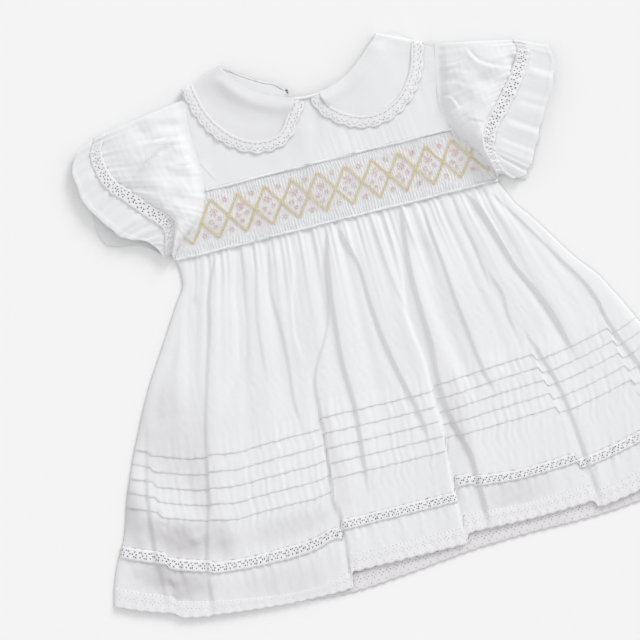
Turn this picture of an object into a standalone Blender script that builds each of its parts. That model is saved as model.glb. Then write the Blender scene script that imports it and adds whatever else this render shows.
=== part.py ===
"""A toddler's smocked summer dress with a round collar and puff sleeves, laid flat with its front up.

The hem points to -Y, the neck to +Y, and the floor that the dress lies on is z = 0.  All sizes are
in metres.  Each piece of cloth is a wall with the true outline of the garment as it lies.
"""

import math

import bmesh
import bpy
from mathutils import Vector

# Driving sizes of the garment, for a child of about two.
CLOTH = 0.0012  # thickness of every cloth wall
SEAM = 0.0004  # space left between two pieces that are sewn together
LAYER = CLOTH + SEAM  # one layer of cloth, with the space over it
PIPING_RADIUS = 0.0011
BACK_ROLL = 0.0008  # radius of the rolled binding along the back neckline
PIPING_LANE = 0.0030  # room between two panels for the cord that joins them

UPPER_SEAM_Y = 0.1345  # piping between the yoke and the smocked insert
WAIST_Y = 0.083  # piping between the smocked insert and the skirt

NECK_CENTRE_Y = 0.2569  # the neckline is an arc about this point
NECK_RADIUS = 0.0744
SHOULDER_ANGLE = math.radians(66)  # from straight down, round the neck centre
SHOULDER_RADIUS = 0.1220  # where the shoulder seam meets the armhole
BINDING_WIDTH = 0.0050
COLLAR_WIDTH = 0.0275
COLLAR_LACE_WIDTH = 0.0090
COLLAR_CORNER_ANGLE = math.radians(19)  # the rounded front corner takes this much of the arc
COLLAR_BACK_ANGLE = math.radians(51)  # how far each half runs on behind, past the shoulder
COLLAR_TAPER = 0.0020  # the collar is this much narrower at the shoulder

BUTTON_RADIUS = 0.0050
BUTTON_THICKNESS = 0.0015
BUTTON_ROOM = 0.0019  # height of the back bodice over the floor, where the buttons and collar lie
BUTTON_YS = (0.172, 0.148, 0.124)
PLACKET = 0.0080  # each back panel laps this far past the middle
LAP_YS = (0.091, 0.101, 0.115)  # the right back rises off the floor, starts to lap, laps fully
OPEN_YS = (0.160, 0.186)  # the unbuttoned top of the back parts over this height

TUCKS = 5
FIRST_TUCK = 0.163  # drop of the first tuck's edge below the waist seam
TUCK_SPACING = 0.01275
TUCK_STEP = 0.0009
INSERTION_DROP = 0.2475
BAND_DROP = 0.2577
HEM_LACE_DROP = 0.2830
HEM_DROP = 0.2970
BACK_HANG = 0.0070  # the back hem lies this much lower than the front one

# The skirt by drop below the waist: half its width, how far the ends of a row rise over its
# middle, and how much the front and the back rows climb for each metre to the right.
SKIRT_OUTLINE = (
    {"drop": 0.000, "half": 0.141, "rise": 0.000, "front_tilt": 0.000, "back_tilt": 0.000},
    {"drop": 0.030, "half": 0.152, "rise": 0.002, "front_tilt": 0.004, "back_tilt": 0.005},
    {"drop": 0.060, "half": 0.171, "rise": 0.005, "front_tilt": 0.008, "back_tilt": 0.010},
    {"drop": 0.100, "half": 0.194, "rise": 0.010, "front_tilt": 0.014, "back_tilt": 0.020},
    {"drop": 0.163, "half": 0.224, "rise": 0.020, "front_tilt": 0.028, "back_tilt": 0.040},
    {"drop": 0.227, "half": 0.250, "rise": 0.027, "front_tilt": 0.048, "back_tilt": 0.060},
    {"drop": 0.310, "half": 0.276, "rise": 0.032, "front_tilt": 0.070, "back_tilt": 0.075},
)

# Lines down the front skirt, from the waist to the hem: where the cloth crests and where it dips.
SKIRT_LINES = (
    {"waist": -0.1410, "hem": -0.2760, "height": 0.0000},
    {"waist": -0.1330, "hem": -0.2500, "height": 0.0010},
    {"waist": -0.1270, "hem": -0.2330, "height": 0.0034},
    {"waist": -0.1220, "hem": -0.2220, "height": 0.0002},
    {"waist": -0.1120, "hem": -0.1880, "height": 0.0038},
    {"waist": -0.1050, "hem": -0.1740, "height": 0.0003},
    {"waist": -0.0880, "hem": -0.1380, "height": 0.0022},
    {"waist": -0.0790, "hem": -0.1160, "height": 0.0004},
    {"waist": -0.0680, "hem": -0.0960, "height": 0.0030},
    {"waist": -0.0480, "hem": -0.0790, "height": 0.0006},
    {"waist": -0.0230, "hem": -0.0660, "height": 0.0038},
    {"waist": -0.0130, "hem": -0.0400, "height": 0.0003},
    {"waist": 0.0060, "hem": 0.0200, "height": 0.0030},
    {"waist": 0.0180, "hem": 0.0360, "height": 0.0004},
    {"waist": 0.0400, "hem": 0.0610, "height": 0.0038},
    {"waist": 0.0480, "hem": 0.0780, "height": 0.0003},
    {"waist": 0.0700, "hem": 0.1190, "height": 0.0030},
    {"waist": 0.0800, "hem": 0.1380, "height": 0.0004},
    {"waist": 0.0930, "hem": 0.1620, "height": 0.0024},
    {"waist": 0.1020, "hem": 0.1800, "height": 0.0004},
    {"waist": 0.1150, "hem": 0.2080, "height": 0.0038},
    {"waist": 0.1220, "hem": 0.2230, "height": 0.0003},
    {"waist": 0.1300, "hem": 0.2480, "height": 0.0024},
    {"waist": 0.1410, "hem": 0.2760, "height": 0.0000},
)
BETWEEN_LINES = 2  # columns of cloth from one line to the next
BACK_COLUMNS = 20
BACK_SKIRT_ROWS = 6
BACK_BODICE_ROWS = 9

# Curves across the right sleeve from its top edge to the underarm, as points on the floor plan.
ARMHOLE = (
    (0.1120, 0.2080),
    (0.1110, 0.1870),
    (0.1085, 0.1590),
    (0.1075, 0.1350),
    (0.1160, 0.1150),
    (0.1290, 0.0970),
    (0.1405, 0.0845),
)
SLEEVE_END = (
    (0.1750, 0.2005),
    (0.1790, 0.1790),
    (0.1690, 0.1530),
    (0.1560, 0.1330),
    (0.1480, 0.1160),
    (0.1440, 0.1010),
    (0.1440, 0.0890),
)
INSERTION_END = (
    (0.1840, 0.1985),
    (0.1885, 0.1750),
    (0.1790, 0.1470),
    (0.1660, 0.1260),
    (0.1570, 0.1090),
    (0.1520, 0.0950),
    (0.1490, 0.0850),
)
FRILL_END = (
    (0.2060, 0.1910),
    (0.2100, 0.1670),
    (0.2020, 0.1370),
    (0.1890, 0.1160),
    (0.1770, 0.1010),
    (0.1660, 0.0890),
    (0.1560, 0.0810),
)
# Sections along a sleeve: how far along it they are, and the heights that its cloth lies between.
SLEEVE_SECTIONS = (
    {"share": 0.00, "under": 0.0012, "crown": 0.0062},
    {"share": 0.12, "under": 0.0002, "crown": 0.0105},
    {"share": 0.35, "under": 0.0000, "crown": 0.0160},
    {"share": 0.65, "under": 0.0000, "crown": 0.0165},
    {"share": 0.88, "under": 0.0000, "crown": 0.0120},
    {"share": 1.00, "under": 0.0000, "crown": 0.0092},
)
INSERTION_SECTIONS = (
    {"share": 0.00, "under": 0.0000, "crown": 0.0090},
    {"share": 1.00, "under": 0.0000, "crown": 0.0088},
)
FRILL_SECTIONS = (
    {"share": 0.00, "under": 0.0000, "crown": 0.0090},
    {"share": 0.50, "under": 0.0000, "crown": 0.0104},
    {"share": 1.00, "under": 0.0000, "crown": 0.0112},
)
SLEEVE_SIDES = 20

WHITE = (0.86, 0.86, 0.87, 1.0)
SMOCKED = (0.87, 0.85, 0.84, 1.0)
LACE_WHITE = (0.84, 0.83, 0.85, 1.0)
CORD_WHITE = (0.88, 0.88, 0.88, 1.0)
PEARL = (0.80, 0.79, 0.77, 1.0)


def clear_scene():
    for old in list(bpy.data.objects):
        bpy.data.objects.remove(old)


def ease(low, high, value):
    """0 below low, 1 above high, and a smooth rise between them.  It falls if low is over high."""
    share = min(1.0, max(0.0, (value - low) / (high - low)))
    return share * share * (3 - 2 * share)


def mix(first, second, share):
    return first + (second - first) * share


def read(table, key, name, value):
    """The value of a named column where the key column equals value, straight between rows."""
    for row, after in zip(table, table[1:]):
        if value <= after[key]:
            return mix(row[name], after[name], (value - row[key]) / (after[key] - row[key]))
    return table[-1][name]


def through(points, share):
    """The point at this share of a smooth curve through the points."""
    place = min(max(share, 0.0), 1.0) * (len(points) - 1)
    start = min(int(place), len(points) - 2)
    local = place - start
    near = [Vector(points[min(max(start + step, 0), len(points) - 1)]) for step in (-1, 0, 1, 2)]
    before, first, second, after = near
    return (
        first
        + 0.5 * local * (second - before)
        + 0.5 * local**2 * (2 * before - 5 * first + 4 * second - after)
        + 0.5 * local**3 * (3 * (first - second) + after - before)
    )


# ---- Materials and objects


def material(name, colour, roughness):
    made = bpy.data.materials.new(name)
    made.use_nodes = True
    shader = made.node_tree.nodes["Principled BSDF"]
    shader.inputs["Base Color"].default_value = colour
    shader.inputs["Roughness"].default_value = roughness
    shader.inputs["Metallic"].default_value = 0.0
    made.diffuse_color = colour
    return made


def add_object(collection, name, data, finish):
    obj = bpy.data.objects.new(name, data)
    data.materials.append(finish)
    collection.objects.link(obj)
    return obj


def grid(columns, rows, place):
    """A flat grid whose points are moved to place(across, along), both from 0 to 1."""
    bm = bmesh.new()
    bmesh.ops.create_grid(bm, x_segments=columns, y_segments=rows, size=0.5)
    for vert in bm.verts:
        vert.co = Vector(place(vert.co.x + 0.5, vert.co.y + 0.5))
    return bm


def finish_wall(collection, name, bm, finish, outward=True):
    """Turns an open surface into a wall of cloth, built up from it or down into it."""
    mesh = bpy.data.meshes.new(name)
    bm.to_mesh(mesh)
    bm.free()
    mesh.shade_smooth()
    wall = add_object(collection, name, mesh, finish)
    solidify = wall.modifiers.new("Thickness", "SOLIDIFY")
    solidify.thickness = CLOTH
    solidify.offset = 1.0 if outward else -1.0
    return wall


def cloth(collection, name, columns, rows, place, finish):
    """A panel of cloth: place gives its underside, and the wall is built up from that."""
    return finish_wall(collection, name, grid(columns, rows, place), finish)


def cloth_tube(collection, name, sides, rows, place, finish):
    """A tube of cloth, open at both ends: place gives its outside for each turn and share."""
    bm = grid(sides, rows, place)
    bmesh.ops.remove_doubles(bm, verts=bm.verts, dist=1e-6)
    return finish_wall(collection, name, bm, finish, outward=False)


def cord(collection, name, points, radius, finish):
    """A round cord along the points, with closed ends."""
    curve = bpy.data.curves.new(name, "CURVE")
    curve.dimensions = "3D"
    curve.bevel_depth = radius
    curve.bevel_resolution = 2
    curve.use_fill_caps = True
    line = curve.splines.new("POLY")
    line.points.add(len(points) - 1)
    for spot, point in zip(line.points, points):
        spot.co = (*point, 1.0)
    return add_object(collection, name, curve, finish)


# ---- Heights of the layers, one over another


def rise_between(low, high, value):
    """0 below low, 1 above high, and straight between them."""
    return min(1.0, max(0.0, (value - low) / (high - low)))


def back_height(y):
    """Underside of the back bodice, which lies on the buttons and on the collar behind."""
    return BUTTON_ROOM * rise_between(LAP_YS[0], LAP_YS[2], y)


def lap_height(x, y):
    """What the lapped back panels add near the middle."""
    return LAYER * rise_between(LAP_YS[0], LAP_YS[1], y) * ease(0.034, 0.014, abs(x))


def front_height(x, y):
    """Underside of the front bodice."""
    return back_height(y) + LAYER + lap_height(x, y)


def armhole_half(y):
    """Half the bodice's width at this height, along the armhole."""
    for low, high in zip(ARMHOLE[1:], ARMHOLE):
        if y >= low[1]:
            return mix(low[0], high[0], min(1.0, (y - low[1]) / (high[1] - low[1])))
    return ARMHOLE[-1][0]


# ---- Bodice


def around_neck(radius, angle, centre_y=NECK_CENTRE_Y):
    """A point on the floor plan, round the neck centre.  The angle is 0 straight down the front."""
    return Vector((radius * math.sin(angle), centre_y - radius * math.cos(angle)))


def shoulder_y(x):
    """Height of the shoulder seam at x."""
    neck_end = around_neck(NECK_RADIUS, SHOULDER_ANGLE)
    arm_end = around_neck(SHOULDER_RADIUS, SHOULDER_ANGLE)
    return mix(neck_end.y, arm_end.y, (abs(x) - neck_end.x) / (arm_end.x - neck_end.x))


def arc_y(x, dip):
    """A neckline between the two shoulder points, dipping this far below them at the middle."""
    end = around_neck(NECK_RADIUS, SHOULDER_ANGLE)
    radius = (end.x**2 + dip**2) / (2 * dip)
    return end.y - dip + radius - math.sqrt(radius**2 - x**2)


FRONT_DIP = NECK_RADIUS * (1 - math.cos(SHOULDER_ANGLE))
BACK_DIP = {"left": FRONT_DIP - 0.0070, "right": FRONT_DIP + 0.0040}


def top_y(x, dip):
    """Top edge of a bodice panel: its neckline, then its shoulder seam."""
    neck_x = around_neck(NECK_RADIUS, SHOULDER_ANGLE).x
    return arc_y(x, dip) if abs(x) < neck_x else shoulder_y(x)


def bodice_x(share, y):
    return (2 * share - 1) * armhole_half(y)


def front_yoke_place(across, up):
    widest = armhole_half(1.0)
    top = top_y((2 * across - 1) * widest, FRONT_DIP) - SEAM
    y = mix(UPPER_SEAM_Y + PIPING_LANE / 2, top, up)
    x = bodice_x(across, y)
    return x, y, front_height(x, y)


def smocked_place(across, up):
    y = mix(WAIST_Y + PIPING_LANE / 2, UPPER_SEAM_Y - PIPING_LANE / 2, up)
    x = bodice_x(across, y)
    return x, y, front_height(x, y)


def back_edge(side, y):
    """Where a back panel ends at the middle: the two lap, and part again near the neck."""
    lap = {"left": PLACKET, "right": -PLACKET}[side]
    open_x = {"left": -0.0120, "right": -0.0010}[side]
    butted = {"left": -SEAM / 2, "right": SEAM / 2}[side]
    closed = mix(butted, lap, rise_between(LAP_YS[1], LAP_YS[2], y))
    return mix(closed, open_x, rise_between(*OPEN_YS, y))


def back_panel_place(side):
    """The back bodice panel on this side of the wearer's front, as seen from above."""
    outer = {"left": -1, "right": 1}[side]

    def row_x(out, y):
        return mix(back_edge(side, y), outer * armhole_half(y), out)

    def place(across, up):
        out = 1 - across if side == "left" else across
        top = NECK_CENTRE_Y
        for _ in range(8):  # settles on the point where this column meets the top edge
            top = top_y(row_x(out, top), BACK_DIP[side]) - SEAM
        low = (WAIST_Y + SEAM / 2, *LAP_YS, UPPER_SEAM_Y)
        row = round(up * BACK_BODICE_ROWS)
        y = low[row] if row < len(low) else mix(low[-1], top, (row - 4) / (BACK_BODICE_ROWS - 4))
        x = row_x(out, y)
        over = lap_height(x, y) if side == "right" else 0.0
        return x, y, back_height(y) + over

    return place


def piping_points(y, half):
    count = 14
    points = []
    for step in range(count + 1):
        x = mix(-half, half, step / count)
        points.append((x, y, front_height(x, y) + PIPING_RADIUS))
    return points


def neck_binding_place(across, up):
    angle = mix(-SHOULDER_ANGLE, SHOULDER_ANGLE, across)
    radius = mix(NECK_RADIUS + BINDING_WIDTH / 2, NECK_RADIUS - BINDING_WIDTH / 2, up)
    x, y = around_neck(radius, angle)
    return x, y, front_height(x, y) + LAYER


def back_binding_points(side):
    """The rolled edge of the back neckline, just clear of the panel."""
    outer = {"left": -1, "right": 1}[side]
    ends = {"left": 0.0150, "right": 0.0060}[side]
    neck_x = around_neck(NECK_RADIUS, SHOULDER_ANGLE).x
    points = []
    for step in range(9):
        x = mix(ends, neck_x - 0.006, step / 8)
        over = LAYER * ease(0.034, 0.014, x) if side == "right" else 0.0
        height = BUTTON_ROOM + CLOTH / 2 + over
        points.append((outer * x, arc_y(x, BACK_DIP[side]) + BACK_ROLL + 2 * SEAM, height))
    return points


# ---- Collar


def collar_reach(angle):
    """Radius of the collar's outer edge at this angle, where lengths past 0 are the lace's."""
    corner = max(0.0, 1 - abs(angle) / COLLAR_CORNER_ANGLE)
    fullness = max(0.0, 1 - corner**1.5) ** 0.8
    taper = COLLAR_TAPER * ease(math.radians(42), SHOULDER_ANGLE, angle)
    return NECK_RADIUS + BINDING_WIDTH / 2 + SEAM + (COLLAR_WIDTH - taper) * fullness


def fold_over_shoulder(radius, angle):
    """Lays a point of the flat collar round the shoulder seam, and on underneath.

    Returns the place on the plan and the height of the collar's inner face.
    """
    bend = (BUTTON_ROOM + 2 * LAYER - CLOTH) / 2
    middle = CLOTH + bend
    past = radius * math.sin(angle - SHOULDER_ANGLE)
    along = radius * math.cos(angle - SHOULDER_ANGLE)
    turn = min(math.pi, max(0.0, past / bend))
    out = bend * math.sin(turn) + min(0.0, past) - max(0.0, past - math.pi * bend)
    height = middle + bend * math.cos(turn)
    line = Vector((math.sin(SHOULDER_ANGLE), -math.cos(SHOULDER_ANGLE)))
    away = Vector((line.y * -1, line.x))
    spot = Vector((0.0, NECK_CENTRE_Y)) + along * line + out * away
    return spot.x, spot.y, height


def collar_angle(share):
    """Angles round the flat collar, close together where it bends over the shoulder."""
    marks = (
        {"share": 0.00, "angle": 0.02},
        {"share": 0.48, "angle": SHOULDER_ANGLE - 0.005},
        {"share": 0.72, "angle": SHOULDER_ANGLE + math.radians(5.2)},
        {"share": 1.00, "angle": SHOULDER_ANGLE + COLLAR_BACK_ANGLE},
    )
    return read(marks, "share", "angle", share)


def mirrored_angle(angle):
    """The back of the collar is rounded like its front."""
    return min(angle, SHOULDER_ANGLE + COLLAR_BACK_ANGLE - angle + 0.02)


def collar_place(side, lace):
    sign = {"left": -1, "right": 1}[side]

    def place(across, up):
        share = 1 - across if side == "left" else across
        angle = collar_angle(share)
        edge = collar_reach(mirrored_angle(angle))
        if lace:
            radius = mix(edge + COLLAR_LACE_WIDTH, edge + SEAM, up)
        else:
            radius = mix(edge, NECK_RADIUS + BINDING_WIDTH / 2 + SEAM, up)
        x, y, height = fold_over_shoulder(radius, angle)
        if angle < SHOULDER_ANGLE:
            height += lap_height(x, y)
        return sign * x, y, height

    return place


# ---- Skirt


def row_y(x, half, drop, tilt):
    """Height on the plan of a row of the skirt: tilted, with its ends drawn up."""
    rise = read(SKIRT_OUTLINE, "drop", "rise", drop)
    return WAIST_Y - drop + rise * (x / half) ** 4 + read(SKIRT_OUTLINE, "drop", tilt, drop) * x


def front_skirt_point(across, drop):
    """Underside of the front skirt at a share of its columns and a drop below the waist."""
    place = across * (len(SKIRT_LINES) - 1)
    start = min(int(place), len(SKIRT_LINES) - 2)
    line, after = SKIRT_LINES[start], SKIRT_LINES[start + 1]
    share = place - start
    half = read(SKIRT_OUTLINE, "drop", "half", drop)
    flare = (half - SKIRT_OUTLINE[0]["half"]) / (SKIRT_LINES[-1]["hem"] - SKIRT_LINES[-1]["waist"])
    waist_x = mix(line["waist"], after["waist"], share)
    hem_x = mix(line["hem"], after["hem"], share)
    x = mix(waist_x, hem_x, flare)
    fullness = ease(0.0, 0.045, drop)
    height = mix(line["height"], after["height"], ease(0, 1, share)) * fullness
    return x, row_y(x, half, drop, "front_tilt"), LAYER + height


def tuck_lift(drop):
    """The tucks lie down over each other, so the skirt steps up to each tuck's edge."""
    edges = [FIRST_TUCK + number * TUCK_SPACING for number in range(TUCKS)]
    above = [edge for edge in edges if edge >= drop]
    if not above or drop < edges[0] - TUCK_SPACING:
        return 0.0
    return TUCK_STEP * (1 - (above[0] - drop) / TUCK_SPACING)


def skirt_drops():
    """Drops of the front skirt's rows: a pair at each tuck, either side of its edge."""
    edge_gap = 0.0005
    drops = [PIPING_LANE / 2, 0.025, 0.055, 0.100, FIRST_TUCK - TUCK_SPACING]
    for number in range(TUCKS):
        edge = FIRST_TUCK + number * TUCK_SPACING
        drops += [edge, edge + edge_gap]
    return drops + [INSERTION_DROP - SEAM]


def front_skirt_place(across, along):
    drops = skirt_drops()
    drop = drops[round((1 - along) * (len(drops) - 1))]
    x, y, height = front_skirt_point(across, drop)
    return x, y, height + tuck_lift(drop)


def front_strip_place(top, bottom):
    def place(across, along):
        return front_skirt_point(across, mix(bottom, top, along))

    return place


def back_strip_place(top, bottom):
    """A strip of the back skirt, flat on the floor, hanging a little below the front."""

    def place(across, along):
        drop = mix(bottom, top, along)
        half = read(SKIRT_OUTLINE, "drop", "half", drop)
        x = (2 * across - 1) * half
        hang = BACK_HANG * drop / HEM_DROP
        return x, row_y(x, half, drop, "back_tilt") - hang, 0.0

    return place


# ---- Sleeves


def sleeve_place(side, inner, outer, sections):
    """A ring of sleeve cloth: across the top, round the outer edge and back underneath."""
    sign = {"left": -1, "right": 1}[side]

    def place(turn, along):
        shown = 1 - turn if side == "left" else turn
        swing = 2 * math.pi * shown
        down = (1 - math.cos(swing)) / 2
        spot = through(inner, down).lerp(through(outer, down), along)
        under = read(sections, "share", "under", along)
        crown = read(sections, "share", "crown", along)
        middle = mix(under, crown, 0.42)
        lift = math.sin(swing)
        if lift >= 0:
            height = mix(middle, crown, lift**0.7)
        else:
            height = mix(middle, under, min(1.0, 1.7 * -lift))
        return sign * spot.x, spot.y, height

    return place


def moved_out(curve, start, distance):
    """The curve moved away from the one that it is sewn to, so that the two keep a seam's space."""
    moved = []
    for first, near in zip(curve, start):
        step = Vector(first) - Vector(near)
        moved.append(tuple(Vector(first) + step.normalized() * distance))
    return tuple(moved)


# ---- The dress


def build_bodice(parts, white, smocked, cord_white, pearl):
    cloth(parts, "front_yoke", 28, 5, front_yoke_place, white)
    cloth(parts, "smocked_insert", 20, 3, smocked_place, smocked)
    for name, y in (("piping_upper", UPPER_SEAM_Y), ("piping_waist", WAIST_Y)):
        cord(parts, name, piping_points(y, armhole_half(y) - SEAM), PIPING_RADIUS, cord_white)
    for side in ("left", "right"):
        cloth(parts, f"back_bodice_{side}", 18, BACK_BODICE_ROWS, back_panel_place(side), white)
        cord(parts, f"back_binding_{side}", back_binding_points(side), BACK_ROLL, cord_white)
    cloth(parts, "front_binding", 18, 1, neck_binding_place, white)
    for number, y in enumerate(BUTTON_YS, 1):
        add_button(parts, f"button_{number}", y, pearl)


def add_button(parts, name, y, finish):
    """A flat round button with a dished middle, under the back placket."""
    bm = bmesh.new()
    bmesh.ops.create_cone(
        bm,
        cap_ends=True,
        segments=20,
        radius1=BUTTON_RADIUS,
        radius2=BUTTON_RADIUS,
        depth=BUTTON_THICKNESS,
    )
    under = [face for face in bm.faces if face.normal.z < -0.9]
    bmesh.ops.inset_region(bm, faces=under, thickness=0.0014)
    for vert in {vert for face in under for vert in face.verts}:
        vert.co.z += 0.0004
    mesh = bpy.data.meshes.new(name)
    bm.to_mesh(mesh)
    bm.free()
    button = add_object(parts, name, mesh, finish)
    button.location = (0.0015, y, BUTTON_THICKNESS / 2)


def build_collar(parts, white, lace):
    for side in ("left", "right"):
        cloth(parts, f"collar_{side}", 22, 3, collar_place(side, lace=False), white)
        cloth(parts, f"collar_lace_{side}", 22, 1, collar_place(side, lace=True), lace)


def build_skirt(parts, white, lace):
    columns = BETWEEN_LINES * (len(SKIRT_LINES) - 1)
    rows = len(skirt_drops()) - 1
    cloth(parts, "front_skirt", columns, rows, front_skirt_place, white)
    back_skirt = back_strip_place(SEAM, INSERTION_DROP - SEAM)
    cloth(parts, "back_skirt", BACK_COLUMNS, BACK_SKIRT_ROWS, back_skirt, white)
    strips = (
        {"name": "insertion", "top": INSERTION_DROP, "bottom": BAND_DROP - SEAM, "finish": lace},
        {"name": "hem_band", "top": BAND_DROP, "bottom": HEM_LACE_DROP - SEAM, "finish": white},
        {"name": "hem_lace", "top": HEM_LACE_DROP, "bottom": HEM_DROP, "finish": lace},
    )
    for strip in strips:
        ends = (strip["top"], strip["bottom"])
        finish = strip["finish"]
        cloth(parts, f"front_{strip['name']}", columns, 1, front_strip_place(*ends), finish)
        cloth(parts, f"back_{strip['name']}", BACK_COLUMNS, 1, back_strip_place(*ends), finish)


def build_sleeves(parts, white, lace):
    armhole = moved_out(ARMHOLE, [(x - 1, y) for x, y in ARMHOLE], 2 * SEAM)
    insertion_start = moved_out(SLEEVE_END, ARMHOLE, SEAM)
    frill_start = moved_out(INSERTION_END, SLEEVE_END, 2 * SEAM)
    for side in ("left", "right"):
        puff = sleeve_place(side, armhole, SLEEVE_END, SLEEVE_SECTIONS)
        band = sleeve_place(side, insertion_start, INSERTION_END, INSERTION_SECTIONS)
        frill = sleeve_place(side, frill_start, FRILL_END, FRILL_SECTIONS)
        cloth_tube(parts, f"sleeve_{side}", SLEEVE_SIDES, 7, puff, white)
        cloth_tube(parts, f"sleeve_insertion_{side}", SLEEVE_SIDES, 1, band, lace)
        cloth_tube(parts, f"sleeve_frill_{side}", SLEEVE_SIDES, 2, frill, white)


def build_dress():
    clear_scene()
    parts = bpy.data.collections.new("toddler_dress")
    bpy.context.scene.collection.children.link(parts)
    white = material("white_lawn", WHITE, 0.85)
    lace = material("cotton_lace", LACE_WHITE, 0.90)
    smocked = material("smocked_lawn", SMOCKED, 0.85)
    cord_white = material("corded_piping", CORD_WHITE, 0.75)
    pearl = material("pearl_button", PEARL, 0.35)
    build_bodice(parts, white, smocked, cord_white, pearl)
    build_collar(parts, white, lace)
    build_skirt(parts, white, lace)
    build_sleeves(parts, white, lace)


build_dress()
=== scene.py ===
# %% [markdown]
# # A toddler's smocked summer dress, laid flat
#
# The dress is white cotton lawn: a yoke with a round lace-edged collar, a smocked band between two
# cords, puff sleeves, and a gathered skirt with pin tucks and lace above its hem.  It lies on its
# back with the front up.  The frame that is loaded first holds every piece as a plain solid of the
# right size, and each cell below replaces one of them with cloth that has folds and stitches.
#
# Sizes are in metres.  +X is to the right of someone who looks at the front, +Y points to the
# neck and +Z away from the floor.

# %% Load the frame
import math
import random

import bmesh
import bpy
import numpy as np
from mathutils import Matrix, Vector


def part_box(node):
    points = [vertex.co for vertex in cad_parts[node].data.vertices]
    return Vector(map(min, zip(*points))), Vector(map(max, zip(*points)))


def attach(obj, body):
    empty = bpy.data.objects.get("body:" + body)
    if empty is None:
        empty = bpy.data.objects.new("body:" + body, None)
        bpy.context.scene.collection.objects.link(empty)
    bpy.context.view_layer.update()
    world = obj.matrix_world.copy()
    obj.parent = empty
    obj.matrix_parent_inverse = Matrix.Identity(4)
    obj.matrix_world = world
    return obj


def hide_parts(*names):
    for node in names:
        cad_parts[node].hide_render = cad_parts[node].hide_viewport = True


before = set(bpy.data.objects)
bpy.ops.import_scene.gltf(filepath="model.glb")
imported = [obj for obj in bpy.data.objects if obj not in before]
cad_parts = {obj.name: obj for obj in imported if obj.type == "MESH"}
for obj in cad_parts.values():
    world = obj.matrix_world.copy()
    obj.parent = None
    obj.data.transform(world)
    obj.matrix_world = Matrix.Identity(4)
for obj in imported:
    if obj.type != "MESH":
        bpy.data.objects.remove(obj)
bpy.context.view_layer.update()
print("frame holds", len(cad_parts), "pieces")


def middle_y(node):
    low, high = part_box(node)
    return (low[1] + high[1]) / 2


WAIST_Y = middle_y("piping_waist")
UPPER_Y = middle_y("piping_upper")
NECK_Y = WAIST_Y + 0.0995  # the lowest point of the front neckline
NECK_RADIUS = 0.0744
NECK_CENTRE_Y = NECK_Y + NECK_RADIUS
print(f"waist {WAIST_Y:.4f}, upper cord {UPPER_Y:.4f}, neck {NECK_Y:.4f}")

# %% [markdown]
# ## Light, floor and camera
#
# White cloth on a white table needs light that is soft but not flat: folds this shallow only show
# when one side is a little brighter.  A bright sky lights everything evenly, and a soft window
# light, low on the upper right, draws the folds.  The view transform is Standard, because it keeps white
# cotton white.  The camera looks straight down, turned so that the dress leans as it was laid.

# %% Light, floor and camera
PICTURE_WIDTH = 0.544  # this much of the table fills the picture
CAMERA_LENS = 0.110
SENSOR = 0.036
CAMERA_TURN = -math.radians(14.0)
CAMERA_AIM = Vector((-0.0401, NECK_Y - 0.1783, 0.004))
FLOOR_WHITE = (0.905, 0.905, 0.905, 1.0)

scene = bpy.context.scene
scene.view_settings.view_transform = "Standard"
scene.view_settings.look = "None"

world = bpy.data.worlds.new("studio_sky")
world.use_nodes = True
world.node_tree.nodes["Background"].inputs["Color"].default_value = (1.0, 1.0, 1.0, 1.0)
world.node_tree.nodes["Background"].inputs["Strength"].default_value = 0.80
scene.world = world


def add_sun(name, turn, height, angle, strength):
    """A soft sun.  turn and height are where it stands in the sky, in degrees."""
    lamp = bpy.data.lights.new(name, "SUN")
    lamp.energy = strength
    lamp.angle = math.radians(angle)
    obj = bpy.data.objects.new(name, lamp)
    obj.rotation_euler = (math.radians(90 - height), 0.0, math.radians(turn + 90))
    scene.collection.objects.link(obj)
    return obj


add_sun("window", turn=42.0, height=27.0, angle=22.0, strength=1.40)

camera_data = bpy.data.cameras.new("overhead")
camera_data.sensor_width = SENSOR * 1000
camera_data.lens = CAMERA_LENS * 1000
camera = bpy.data.objects.new("overhead", camera_data)
height = PICTURE_WIDTH * CAMERA_LENS / SENSOR
camera.location = CAMERA_AIM + Vector((0.0, 0.0, height))
camera.rotation_euler = (0.0, 0.0, CAMERA_TURN)
scene.collection.objects.link(camera)
scene.camera = camera
print(f"camera {height:.2f} m over the table")


def flat_material(name, colour, roughness):
    made = bpy.data.materials.new(name)
    made.use_nodes = True
    shader = made.node_tree.nodes["Principled BSDF"]
    shader.inputs["Base Color"].default_value = colour
    shader.inputs["Roughness"].default_value = roughness
    shader.inputs["Specular IOR Level"].default_value = 0.2
    return made


bm = bmesh.new()
bmesh.ops.create_grid(bm, x_segments=1, y_segments=1, size=4.0)
floor_mesh = bpy.data.meshes.new("table")
bm.to_mesh(floor_mesh)
bm.free()
floor_mesh.materials.append(flat_material("table_white", FLOOR_WHITE, 0.95))
floor = bpy.data.objects.new("table", floor_mesh)
floor.location = (0.0, 0.0, -0.0004)
scene.collection.objects.link(floor)

# %% [markdown]
# ## Cotton
#
# Lawn is a plain weave of fine thread, matt, with a faint fuzz that catches light at its edges.
# The weave is a node group, because every cotton piece here uses it: two waves at right angles,
# read from the cloth's own UV map in metres, so that the threads follow each piece round its
# folds.  A slow noise adds the slight unevenness of washed cloth.
#
# Thin white cloth looks grey where there is shade behind it.  Here that grey is painted shade, which is
# simpler than cloth that lets light through: a piece may carry an attribute named painted_shade, and its
# colour is mixed towards a grey by it.  The price is that the painted grey stays where it is when the
# light or the view changes, and looks like a stain from low down.

# %% Cotton node groups and materials
THREAD = 0.00042  # from one thread to the next


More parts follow.
